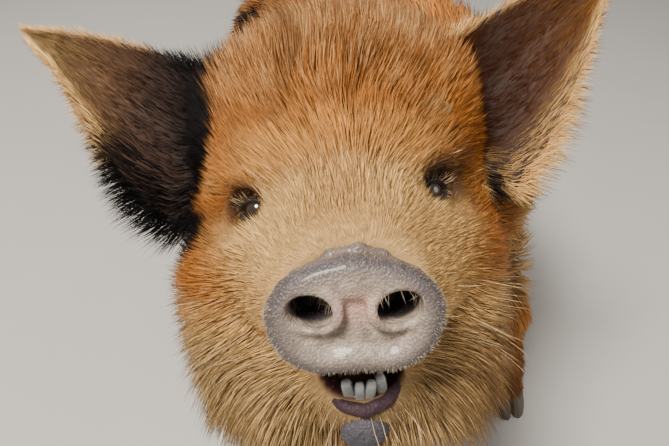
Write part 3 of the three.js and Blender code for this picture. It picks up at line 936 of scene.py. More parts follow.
class Lids:
    """The lids round one eye: two thick rolls with wrinkles, sunk at their outer rim in the skin."""

    AROUND = 96
    OUT = 34

    def __init__(self, anatomy: Anatomy, side: float) -> None:
        self.anatomy = anatomy
        self.side = side

    def surface(self, markings: Markings) -> Surface:
        """The lids' mesh.

        Args:
            markings: the coat's colours, for the lids' hairy part.

        Returns:
            A surface of quads.
        """
        way = gaze(self.side)
        turn = lid_frame(self.side)
        v = np.linspace(0, 1, self.OUT) ** 1.3
        u = np.linspace(0, 2 * np.pi, self.AROUND, endpoint=False)
        vv, uu = (g.ravel() for g in np.meshgrid(v, u, indexing="ij"))
        c, s = np.cos(uu), np.sin(uu)
        round_ = smooth(0, 0.5, vv)
        almond = mix(np.sign(s) * np.abs(s) ** 1.3, s, round_)
        wide = mix(10.8, 27, vv) * c
        high = mix(np.where(s > 0, 5.6, 5.0), 24, vv) * almond - 0.4 * (1 - vv)
        far2 = wide**2 + high**2
        on_eye = np.sqrt(np.maximum((EYE_RADIUS + 0.4) ** 2 - far2, 0))
        beyond = EYE_RADIUS + 1.6 - far2 / 30
        sphere = np.where(far2 < 100, np.maximum(on_eye, beyond), beyond)
        margin = 1.7 * smooth(0, 0.09, vv) * smooth(0.75, 0.12, vv)
        crease = np.sin(vv * 46 + 1.5 * np.sin(uu * 2)) * np.exp(-(((vv - 0.4) / 0.2) ** 2))
        pouch = 2.0 * np.exp(-(((vv - 0.48) / 0.17) ** 2)) * smooth(0.1, -0.9, s)
        lid = mix(on_eye, sphere, smooth(0, 0.2, vv)) + margin + 0.7 * crease + pouch
        base = on_head(eyeball_centre(self.side))
        flat = head_way(np.stack([wide, np.zeros_like(wide), high], -1) @ turn.T)
        toward = head_way(way)
        reach = np.full(len(wide), 34.0)
        for _ in range(40):
            value = self.anatomy.unopened(base + flat + toward * reach[:, None])
            reach = reach - np.clip(value, -3, 3) * 0.6
        out = mix(lid, reach - 1.2, smooth(0.42, 1, vv))
        points = base + flat + toward * out[:, None]
        faces = sheet_faces(self.OUT, self.AROUND, True)
        dark, fleshy = np.array([0.012, 0.008, 0.007]), np.array([0.08, 0.045, 0.03])
        tint = mix(dark, fleshy, smooth(0.15, 0.6, vv)[:, None])
        # Painted shade: the lids' hairy outer part takes the coat's colours at 0.24 of their brightness, as shade under
        # the hair.
        coat = markings.colour(points, np.full(len(points), 0.45)) * 0.24
        tint = mix(tint, coat, smooth(0.3, 0.6, vv)[:, None])
        return Surface(points, faces, tint)


@dataclass(frozen=True)
class Palette:
    """The coat's linear colours."""

    ginger: tuple[float, float, float] = (0.34, 0.122, 0.028)
    orange: tuple[float, float, float] = (0.5, 0.18, 0.034)
    cream: tuple[float, float, float] = (0.92, 0.56, 0.22)
    gold: tuple[float, float, float] = (0.78, 0.4, 0.12)
    straw: tuple[float, float, float] = (0.66, 0.42, 0.18)
    brown: tuple[float, float, float] = (0.13, 0.055, 0.022)
    olive: tuple[float, float, float] = (0.27, 0.18, 0.09)
    shade: tuple[float, float, float] = (0.075, 0.036, 0.018)
    black: tuple[float, float, float] = (0.007, 0.006, 0.006)


class Markings:
    """The colours of the coat by place, shared by the skin and the hair."""

    def __init__(self, palette: Palette) -> None:
        self.palette = palette

    def black(self, p: Array) -> Array:
        """How black the coat is.

        Args:
            p: points in the pig's frame.

        Returns:
            0 to 1.
        """
        q = in_head(p)
        wobble = noise(p, 22, 5) * 7 + noise(p, 8, 6) * 4
        spots = (
            ((-122, 72, 44), (36, 60, 62)),
            ((-108, 96, 96), (26, 50, 26)),
            ((126, 60, -4), (14, 30, 20)),
            ((-118, 20, -28), (13, 24, 18)),
            ((118, 22, -140), (20, 36, 26)),
        )
        depth = np.full(len(p), 60.0)
        for centre, radii in spots:
            depth = np.minimum(depth, ellipsoid(centre, radii)(q))
        body = (
            ((150, -120, 470), (90, 90, 120)),
            ((-170, 130, 400), (90, 130, 110)),
            ((120, 330, 470), (120, 110, 110)),
            ((-120, 420, 260), (80, 90, 120)),
            ((170, 60, 230), (60, 70, 60)),
        )
        on_body = smooth(-340, -290, p[:, 1])
        for centre, radii in body:
            patch = ellipsoid(centre, radii)(p) + wobble * 1.5 + (1 - on_body) * 80
            depth = np.minimum(depth, patch)
        return smooth(7, -7, depth + wobble * 0.7)

    def colour(self, p: Array, spread: Array) -> Array:
        """The colour of the hair at its middle.

        Args:
            p: points in the pig's frame.
            spread: a random number from 0 to 1 for each point.

        Returns:
            Linear colours.
        """
        c = self.palette
        ginger, orange, cream = (np.array(v) for v in (c.ginger, c.orange, c.cream))
        straw, brown, olive = (np.array(v) for v in (c.straw, c.brown, c.olive))
        q = in_head(p)
        x, b, h = q[:, 0], q[:, 1], q[:, 2]
        patchy = noise(p, 45, 1) * 0.6 + noise(p, 16, 2) * 0.4
        wide = np.abs(x)
        tone = mix(ginger, orange, smooth(-0.4, 0.6, patchy + 0.5 * (spread - 0.5))[:, None])
        on_head_ = smooth(190, 120, b)
        dapple = noise(p, 11, 7) * 0.55 + noise(p, 28, 8) * 0.6 + (spread - 0.5) * 0.7
        tone = mix(tone, brown * 1.3, (smooth(0.15, 0.75, dapple) * 0.55)[:, None])
        tone = mix(tone, straw, (smooth(-0.15, -0.75, dapple) * 0.6)[:, None])
        crown = smooth(40, 110, h) * on_head_
        tone = mix(tone, straw, (crown * 0.45 * smooth(0.35, 0.9, spread))[:, None])
        tone = mix(tone, brown, (crown * smooth(0.45, 0.05, spread) * 0.65)[:, None])
        part = np.exp(-(((x + 34 - 0.06 * h) / 7) ** 2)) * smooth(40, 90, h) * on_head_
        tone = mix(tone, brown, (part * 0.6)[:, None])
        reach = b + 1.15 * np.maximum(h, 0) + 10 * patchy + 16 * (spread - 0.5)
        muzzle = smooth(16, -32, reach) * on_head_
        side_tuft = np.exp(-(((wide - 106) / 28) ** 2 + ((h + 42) / 24) ** 2))
        muzzle = np.maximum(muzzle, smooth(62, 20, b) * smooth(-24, -60, h) * smooth(118, 88, wide) * 0.9)
        gold = smooth(80, 16, reach) * on_head_ * smooth(100, 60, wide)
        tone = mix(tone, np.array(c.gold), (gold * 0.6)[:, None])
        tone = mix(tone, cream, (muzzle * (1 - side_tuft))[:, None])
        tone = mix(tone, orange, (side_tuft * 0.85 * on_head_)[:, None])
        nose_bridge = np.exp(-((x / 26) ** 2)) * smooth(-10, -60, b) * smooth(-20, 10, h) * on_head_
        tone = mix(tone, ginger * 1.1, (nose_bridge * 0.25)[:, None])
        # Round each eye the hair darkens: partly darker fur, partly painted shade of the deep-set socket.
        for side in (-1.0, 1.0):
            e = (q - eyeball_centre(side) - gaze(side) * 10) @ lid_frame(side)
            around = np.hypot(e[:, 0] / 28, (e[:, 2] - 4) / 19) + 0.2 * patchy + 0.2 * (spread - 0.5)
            ring = smooth(1.2, 0.65, around)
            pale = smooth(0.8, 0.95, spread)
            tone = mix(tone, np.array(c.shade), (ring * 0.92 * (1 - 0.6 * pale))[:, None])
        jowl = smooth(-72, -118, h + 10 * patchy) * on_head_
        tone = mix(tone, mix(olive, straw, (spread[:, None]) ** 2), (jowl * 0.85)[:, None])
        # The pig's left jowl is darker: partly its darker hair, partly painted shade of the side turned from the light.
        tone = mix(tone, brown * 1.3, (jowl * smooth(30, 80, x) * 0.55)[:, None])
        shoulder = smooth(20, -40, ellipsoid((150, -220, 300), (90, 110, 190))(p)) * (1 - on_head_)
        tone = mix(tone, straw * 1.1, (shoulder * 0.75)[:, None])
        under = smooth(300, 190, p[:, 2]) * smooth(-330, -250, p[:, 1])
        tone = mix(tone, straw, (under * 0.45)[:, None])
        low = smooth(130, 60, p[:, 2])
        tone = mix(tone, brown * 1.6, (low * 0.7)[:, None])
        tone = mix(tone, np.array(c.black), self.black(p)[:, None])
        return tone * mix(0.62, 1.38, spread)[:, None]


@dataclass
class Tufts:
    """Hairs before they are meshed, in millimetres.

    Attributes:
        roots: where they leave the skin.
        normals: the skin's normal there.
        lie: the way they run along the skin.
        length: how long each is.
        width: how wide each is at its root.
        lift: the angle off the skin at the root, in radians.
        tint: the colour at the middle.
        root_shade: the share of the colour left at the root.
    """

    roots: Array
    normals: Array
    lie: Array
    length: Array
    width: Array
    lift: Array
    tint: Array
    # Each hair darkens towards its root by this share: painted shade deep in the coat.
    root_shade: float | Array = 0.45

    def picked(self, keep: NDArray[np.bool_]) -> Tufts:
        """Some of the tufts.

        Args:
            keep: which of them.

        Returns:
            Those.
        """
        return Tufts(
            self.roots[keep], self.normals[keep], self.lie[keep], self.length[keep],
            self.width[keep], self.lift[keep], self.tint[keep], self.root_shade,
        )


class Groomer:
    """Lays hair on the skin and the ears."""

    def __init__(self, anatomy: Anatomy, markings: Markings, seed: int = 11) -> None:
        self.anatomy = anatomy
        self.markings = markings
        self.random = np.random.default_rng(seed)

    def scatter(self, surface: Surface, density: Callable[[Array], Array]) -> tuple[Array, Array]:
        """Random places on a surface.

        Args:
            surface: of quads.
            density: hairs for each square millimetre, by place.

        Returns:
            Places and the surface's normals there.
        """
        quads = surface.points[surface.faces]
        tris = np.concatenate([quads[:, [0, 1, 2]], quads[:, [0, 2, 3]]])
        cross = np.cross(tris[:, 1] - tris[:, 0], tris[:, 2] - tris[:, 0])
        area = np.linalg.norm(cross, axis=1) / 2
        expected = area * density(tris.mean(axis=1))
        count = self.random.poisson(expected)
        index = np.repeat(np.arange(len(tris)), count)
        a, b = self.random.random((2, len(index)))
        turn = a + b > 1
        a[turn], b[turn] = 1 - a[turn], 1 - b[turn]
        t = tris[index]
        places = t[:, 0] + a[:, None] * (t[:, 1] - t[:, 0]) + b[:, None] * (t[:, 2] - t[:, 0])
        return places, unit(cross[index])

    def lie(self, p: Array, normal: Array) -> Array:
        """The way hair runs at places of the skin.

        Args:
            p: places.
            normal: the skin's normals.

        Returns:
            Unit tangents.
        """
        q = in_head(p)
        from_nose = unit(q - np.array([0, -DISC_FRONT + 30, -DISC_DROP + 4]))
        from_nose = from_nose + np.array([0, 0.55, -0.1])
        brow = smooth(30, 70, q[:, 2]) * smooth(120, 60, q[:, 1])
        from_nose = from_nose + brow[:, None] * np.array([0, 0.0, 0.7])
        jowl = smooth(-60, -100, q[:, 2])
        from_nose[:, 2] -= 0.5 * jowl
        chin = smooth(-95, -112, q[:, 2]) * smooth(50, -60, q[:, 1])
        from_nose = from_nose + chin[:, None] * np.array([0, -0.9, -1.4])
        from_nose[:, 0] += 0.45 * np.sign(q[:, 0]) * jowl
        for side in (-1.0, 1.0):
            turn = lid_frame(side)
            e = (q - eyeball_centre(side) - gaze(side) * 10) @ turn
            close = np.exp(-((np.hypot(e[:, 0] / 20, e[:, 2] / 15)) ** 2))
            from_nose = from_nose + (unit(e * np.array([1, 0, 1])) @ turn.T) * (close * 5.0)[:, None]
        on_face = head_way(unit(from_nose))
        flank = smooth(0.2, 0.9, np.abs(normal[:, 0]))
        rump = smooth(0.2, 0.9, normal[:, 1])
        down = -0.05 - 0.7 * flank - rump - 0.25 * smooth(0.2, -0.6, normal[:, 2])
        on_body = np.stack([np.zeros(len(p)), np.ones(len(p)), down], -1)
        on_leg = np.stack([np.zeros(len(p)), np.full(len(p), 0.15), -np.ones(len(p))], -1)
        legs = smooth(250, 170, p[:, 2]) * smooth(0.85, 0.5, np.abs(normal[:, 2]))
        way = mix(unit(on_body), on_leg, legs[:, None])
        share = smooth(215, 130, q[:, 1]) * smooth(-300, -345, p[:, 1])
        way = mix(way, on_face, share[:, None])
        way = way + 0.35 * np.stack([noise(p, 60, k) for k in (21, 22, 23)], -1)
        way = way + 0.22 * np.stack([noise(p, 15, k) for k in (24, 25, 26)], -1)
        return unit(way - np.sum(way * normal, -1, keepdims=True) * normal)

    def bare(self, p: Array) -> Array:
        """Where no hair grows: the disc, the eyes and the mouth.

        Args:
            p: places.

        Returns:
            Millimetres to the nearest bare place.
        """
        q = in_head(p)
        x, z = q[:, 0], q[:, 2] + DISC_DROP
        disc = NoseDisc().outline(np.arctan2(z, x)) - 3
        clear = np.maximum(q[:, 1] + DISC_FRONT - 31, np.hypot(x, z) - disc)
        clear = np.where(q[:, 1] < -DISC_FRONT + 40, clear, 60.0)
        for side in (-1.0, 1.0):
            e = (q - eyeball_centre(side) - gaze(side) * 10) @ lid_frame(side)
            eye = (np.hypot(e[:, 0] / 15.5, (e[:, 2] + 1) / 11.5) - 1) * 9 + np.maximum(e[:, 1] + 2, 0)
            clear = np.minimum(clear, np.where(np.abs(e[:, 1]) < 30, eye, 60.0))
        mouth = ellipsoid((1, -124, -95), (22, 34, 12))(q)
        chin = ellipsoid((-2, -126, -125), (12.5, 20, 10.5))(q)
        return np.minimum(clear, np.minimum(mouth, chin))

    def head(self, skin: Surface) -> Tufts:
        """The hair of the head.

        Args:
            skin: the whole skin.

        Returns:
            Tufts.
        """
        def density(p: Array) -> Array:
            q = in_head(p)
            front = smooth(190, 60, q[:, 1])
            near = smooth(20, -60, q[:, 1])
            under = smooth(0.0, -0.6, q[:, 2] / 200)
            base = mix(0.09, 0.335, front) * mix(1, 1.35, near) * mix(1, 0.8, under)
            slot = (np.abs(q[:, 0]) < 27) & (q[:, 1] < -100) & (q[:, 2] < -70) & (q[:, 2] > -96)
            return base * (q[:, 1] < 200) * (p[:, 1] < -300) * (self.bare(p) > 0) * ~slot

        roots, _ = self.scatter(skin, density)
        normals = self.anatomy.normal(roots)
        q = in_head(roots)
        clear = self.bare(roots)
        length = mix(9, 25, smooth(0, 95, q[:, 1] + DISC_FRONT - DISC_THICKNESS))
        length = mix(length, 40, smooth(-70, -120, q[:, 2]) * smooth(-100, -40, q[:, 1]))
        length = mix(length, 54, smooth(-98, -124, q[:, 2]) * smooth(-150, -105, q[:, 1]))
        cheek = smooth(62, 100, np.abs(q[:, 0])) * smooth(25, -25, q[:, 2]) * smooth(-50, 0, q[:, 1])
        length = mix(length, np.where(q[:, 0] < 0, 44, 34), cheek)
        length = mix(length, 46, smooth(55, 115, q[:, 2]))
        length = mix(length, 40, smooth(110, 180, q[:, 1]))
        below = (q[:, 2] < -117) & (np.abs(q[:, 0]) < 60)
        length = np.minimum(length, np.where(below, 12, 3.5) + np.maximum(clear, 0) * np.where(below, 4, 0.95))
        length = length * self.random.uniform(0.7, 1.25, len(roots))
        lift = mix(0.3, 0.62, smooth(20, 130, q[:, 1] + DISC_FRONT)) * self.random.uniform(
            0.55, 1.4, len(roots)
        )
        lift = mix(lift, 0.8 * self.random.uniform(0.7, 1.2, len(roots)), cheek * (q[:, 0] < 0))
        lift = mix(lift, 0.8 * self.random.uniform(0.5, 1.4, len(roots)), smooth(70, 110, q[:, 2]))
        width = np.clip(length * 0.023, 0.28, 0.7) * self.random.uniform(0.75, 1.25, len(roots))
        tint = self.markings.colour(roots, self.random.random(len(roots)))
        # Painted shade: the jowl's hairs are darker still at the root, as shade between the strands.
        painted_root_shade = mix(0.36, 0.24, smooth(-55, -95, q[:, 2]) * smooth(-100, -60, q[:, 1]))
        return Tufts(roots, normals, self.lie(roots, normals), length, width, lift, tint, painted_root_shade)

    def body(self, skin: Surface) -> Tufts:
        """The hair of the neck, the trunk and the legs.

        Args:
            skin: the whole skin.

        Returns:
            Tufts.
        """
        def density(p: Array) -> Array:
            q = in_head(p)
            behind = 1 - (q[:, 1] < 200) * (p[:, 1] < -300)
            low = smooth(230, 150, p[:, 2])
            return behind * mix(0.034, 0.074, low) * (p[:, 2] > HOOF_HEIGHT + 1)

        roots, _ = self.scatter(skin, density)
        normals = self.anatomy.normal(roots)
        low = smooth(240, 130, roots[:, 2]) * smooth(0.9, 0.5, np.abs(normals[:, 2]))
        length = mix(62, 17, low)
        length = length * self.random.uniform(0.7, 1.2, len(roots))
        width = mix(2.1, 1.1, low) * self.random.uniform(0.7, 1.3, len(roots))
        lift = mix(0.42, 0.4, low) * self.random.uniform(0.5, 1.4, len(roots))
        tint = self.markings.colour(roots, self.random.random(len(roots)))
        return Tufts(roots, normals, self.lie(roots, normals), length, width, lift, tint, 0.5)

    def ear(self, ear: Ear, surface: Surface) -> Tufts:
        """The hair of an ear: short on both faces, long along its edges and over its root.

        Args:
            ear: the ear.
            surface: not used.

        Returns:
            Tufts.
        """
        n = 12000
        row = self.random.random(n) ** 0.85
        across = self.random.random(n)
        front = self.random.random(n) < 0.62
        edge = self.random.random(n) < 0.22
        across = np.where(edge, np.where(self.random.random(n) < 0.4, 0.02, 0.98) + self.random.normal(0, 0.02, n), across)
        across = np.clip(across, 0, 1)
        thick = mix(1.6, EAR_THICKNESS, np.sin(np.pi * across)) * mix(1, 0.7, row)
        depth = np.where(front, 0.0, thick)
        roots = ear.points(row, across, depth)
        ahead = ear.points(np.minimum(row + 0.02, 1.02), across, depth)
        beside = ear.points(row, across + 0.02, depth)
        along = unit(ahead - ear.points(np.maximum(row - 0.001, 0), across, depth))
        over = unit(beside - roots)
        normals = unit(np.cross(along, over)) * ear.side
        normals = np.where(front[:, None], normals, -normals)
        toward = head_way(np.array([0, -1.0, 0.0]))
        flip = np.sign(np.sum(normals * toward, -1)) * np.where(front, 1, -1)
        normals = normals * flip[:, None]
        outwards = (across - 0.5) * 2
        lie = unit(along + over * (outwards * np.where(edge, 1.6, 0.55))[:, None])
        lie = unit(lie + 0.09 * self.random.normal(0, 1, (n, 3)))
        rim = np.abs(outwards) > 0.9
        fringe = mix(30, 10, smooth(0.3, 0.95, row)) if ear.side > 0 else mix(22, 10, row)
        length = np.where(rim, np.where(outwards > 0, fringe, 12), np.where(front, 14, 14))
        length = length * self.random.uniform(0.6, 1.3, n)
        root_zone = smooth(0.34, 0.0, row)
        if ear.side < 0:
            root_zone = np.maximum(root_zone, smooth(0.75, 0.4, row) * smooth(0.6, 0.95, across))
        length = mix(length, 36 * self.random.uniform(0.7, 1.3, n), root_zone)
        width = np.clip(length * 0.024, 0.27, 0.62)
        lift = self.random.uniform(0.1, 0.45, n)
        spread = self.random.random(n)
        c = self.markings.palette
        brown, rim_tone = np.array(c.brown), np.array(c.cream)
        inner = mix(np.array([0.085, 0.028, 0.009]), np.array(c.straw) * 0.36, smooth(0.5, 1, row + 0.3 * spread)[:, None])
        # The pig's left ear's inner face is browner and darker towards its root and lower edge: partly its own browner
        # hair, partly painted shade.
        if ear.side > 0:
            inner = inner * np.array([0.95, 0.66, 0.42])
            shade = smooth(0.75, 0.2, row) * smooth(0.95, 0.6, across)
            inner = mix(inner, np.array([0.05, 0.015, 0.005]), (shade * 0.85)[:, None])
        edge_tone = smooth(0.68, 0.93, across) + smooth(0.06, 0.01, across) * 0.8
        tint = mix(inner, rim_tone, np.clip(edge_tone, 0, 1)[:, None])
        tint = np.where(front[:, None], tint, mix(np.array(c.ginger), brown, 0.3))
        marked = self.markings.black(roots)
        if ear.side < 0:
            limit = 0.4 + 0.24 * across
            marked = np.maximum(marked, smooth(limit + 0.06, limit - 0.06, row + 0.12 * (spread - 0.5)))
        tint = mix(tint, np.array(c.black), marked[:, None])
        return Tufts(roots, normals, lie, length, width, lift, tint * mix(0.72, 1.28, spread)[:, None], 0.75)

    def hanging(self, surface: Surface, density: float, length: Callable[[Array], Array]) -> Tufts:
        """Hair that hangs from the tail or a tassel.

        Args:
            surface: its mesh.
            density: hairs for each square millimetre.
            length: their length by place.

        Returns:
            Tufts.
        """
        roots, normals = self.scatter(surface, lambda p: np.full(len(p), density))
        n = len(roots)
        lie = np.array([0, 0.1, -1.0]) + 0.12 * self.random.normal(0, 1, (n, 3))
        lie = unit(lie - 0.7 * np.sum(lie * normals, -1, keepdims=True) * normals)
        long = length(roots) * self.random.uniform(0.65, 1.2, n)
        tint = self.markings.colour(roots, self.random.random(n))
        width, lift = np.full(n, 0.8), self.random.uniform(0.1, 0.5, n)
        return Tufts(roots, normals, lie, long, width, lift, tint, 0.45)

    def bristles(self, disc: Surface) -> Tufts:
        """Stubs all over the nose disc and longer bristles over its nostrils.

        Args:
            disc: the disc's mesh.

        Returns:
            Tufts.
        """
        roots, normals = self.scatter(disc, lambda p: np.full(len(p), 0.42))
        q = in_head(roots) + np.array([0, DISC_FRONT - DISC_THICKNESS, DISC_DROP])
        x, out, z = q[:, 0], -q[:, 1], q[:, 2]
        near = np.min([np.hypot((x - s * 22.5) / 12, (z - 4.5 - s * 1.4) / 8.8) for s in (-1, 1)], axis=0)
        brink = (near > 0.86) & (near < 1.25) & (z > 7) & (out > 2)
        top = smooth(4, 20, z) * smooth(30, 10, np.abs(x))
        rim = smooth(0.8, 0.95, np.hypot(x, z) / NoseDisc().outline(np.arctan2(z, x)))
        keep = (near > 1.15) & (out > 1) & (self.random.random(len(x)) < 0.3 + 0.7 * np.maximum(top, rim))
        keep |= brink
        down = head_way(np.array([0.0, -0.25, -1.0]))
        away = head_way(np.stack([x, np.zeros_like(x), z], -1) / 45.0)
        lie = unit(np.where(brink[:, None], down, away + down * 0.3))
        keep &= ~brink | (self.random.random(len(x)) < 0.5)
        lie = unit(lie + self.random.normal(0, 0.3, lie.shape) * brink[:, None])
        length = np.where(brink, self.random.uniform(4, 9.5, len(x)), self.random.uniform(0.9, 2.0, len(x)))
        width = np.where(brink, 0.24, 0.26)
        lift = np.where(brink, self.random.uniform(0.1, 0.7, len(x)), 0.8)
        spread = self.random.random(len(x))[:, None]
        tint = mix(np.array([0.2, 0.15, 0.1]), np.array([0.55, 0.46, 0.33]), spread)
        tufts = Tufts(roots, normals, lie, length, width, lift, tint, 0.8)
        return tufts.picked(keep)

    def lashes(self, lids: Surface, side: float) -> Tufts:
        """Curved lashes along an upper lid, and a few under the eye.

        Args:
            lids: the lids' mesh.
            side: -1 for the pig's right, 1 for its left.

        Returns:
            Tufts.
        """
        n = 110
        turn = self.random.uniform(0.04, 0.96, n) * np.pi
        turn = np.where(self.random.random(n) < 0.22, -turn, turn)
        row = self.random.integers(4, 9, n)
        column = np.round(turn / (2 * np.pi) * Lids.AROUND).astype(int) % Lids.AROUND
        roots = lids.points[row * Lids.AROUND + column]
        axes = HEAD @ lid_frame(side)
        over = np.sin(turn) > 0
        lie = np.cos(turn)[:, None] * axes[:, 0] + np.where(over, 0.5, -0.6)[:, None] * axes[:, 2]
        lie = unit(lie * np.where(over, 1.0, 0.8)[:, None] + self.random.normal(0, 0.12, (n, 3)))
        normals = np.broadcast_to(-axes[:, 1], (n, 3))
        length = np.where(over, self.random.uniform(7, 14, n), self.random.uniform(3, 6, n))
        pale = self.random.random(n)[:, None] < 0.45
        tint = np.where(pale, np.array([0.62, 0.44, 0.26]), np.array([0.07, 0.04, 0.025]))
        return Tufts(roots, normals, lie, length, np.full(n, 0.3), np.full(n, 0.85), tint, 0.8)

    def lid_hair(self, lids: Surface, side: float) -> Tufts:
        """Short hair on the outer part of the lids, away from the eye.

        Args:
            lids: the lids' mesh.
            side: -1 for the pig's right, 1 for its left.

        Returns:
            Tufts.
        """
        n = 4200
        row = self.random.integers(13, Lids.OUT - 1, n)
        column = self.random.integers(0, Lids.AROUND, n)
        near = lids.points[row * Lids.AROUND + column]
        beyond = lids.points[(row + 1) * Lids.AROUND + (column + 1) % Lids.AROUND]
        roots = near + (beyond - near) * self.random.random((n, 1))
        sunk = np.maximum(-self.anatomy.skin(roots), 0)
        roots = roots + head_way(gaze(side)) * sunk[:, None] * 1.1
        turn = column / Lids.AROUND * 2 * np.pi
        axes = HEAD @ lid_frame(side)
        share = (row - 13) / (Lids.OUT - 14)
        outward = unit(roots - on_head(eyeball_centre(side)))
        normals = unit(mix(outward, self.anatomy.normal(roots), smooth(0.2, 0.7, share)[:, None]))
        lie = np.cos(turn)[:, None] * axes[:, 0] + np.sin(turn)[:, None] * axes[:, 2]
        lie = lie + 0.5 * self.lie(roots, normals) + self.random.normal(0, 0.1, (n, 3))
        lie = unit(lie - np.sum(lie * normals, -1, keepdims=True) * normals)
        length = mix(2.5, 13, share) * self.random.uniform(0.7, 1.3, n)
        tint = self.markings.colour(roots, self.random.random(n))
        width = np.full(n, 0.36)
        return Tufts(roots, normals, lie, length, width, self.random.uniform(0.2, 0.6, n), tint, 0.5)

    def whiskers(self, skin: Surface) -> Tufts:
        """Long single hairs of the jowls, the lips and the brows.

        Args:
            skin: the whole skin.

        Returns:
            Tufts.
        """
        def density(p: Array) -> Array:
            q = in_head(p)
            jowl = smooth(-40, -90, q[:, 2]) * smooth(150, 60, q[:, 1])
            brow = np.exp(-(((np.abs(q[:, 0]) - 66) / 22) ** 2 + ((q[:, 2] - 22) / 10) ** 2)) * 0.5
            mouth = (np.abs(q[:, 0]) < 34) & (q[:, 1] < -84) & (q[:, 2] > -104)
            return (jowl + brow) * 0.012 * (self.bare(p) > 1.5) * (q[:, 1] < 120) * (p[:, 1] < -300) * ~mouth

        roots, _ = self.scatter(skin, density)
        normals = self.anatomy.normal(roots)
        n = len(roots)
        length = self.random.uniform(30, 62, n) * mix(1, 0.5, smooth(-40, 0, in_head(roots)[:, 2]))
        length = length * mix(0.55, 1, smooth(-100, -20, in_head(roots)[:, 1]))
        width = self.random.uniform(0.35, 0.55, n)
        lift = self.random.uniform(0.6, 1.15, n)
        light = self.random.random(n)[:, None] < 0.6
        tint = np.where(light, np.array([0.7, 0.5, 0.28]), np.array([0.05, 0.03, 0.02]))
        return Tufts(roots, normals, self.lie(roots, normals), length, width, lift, tint, 0.7)


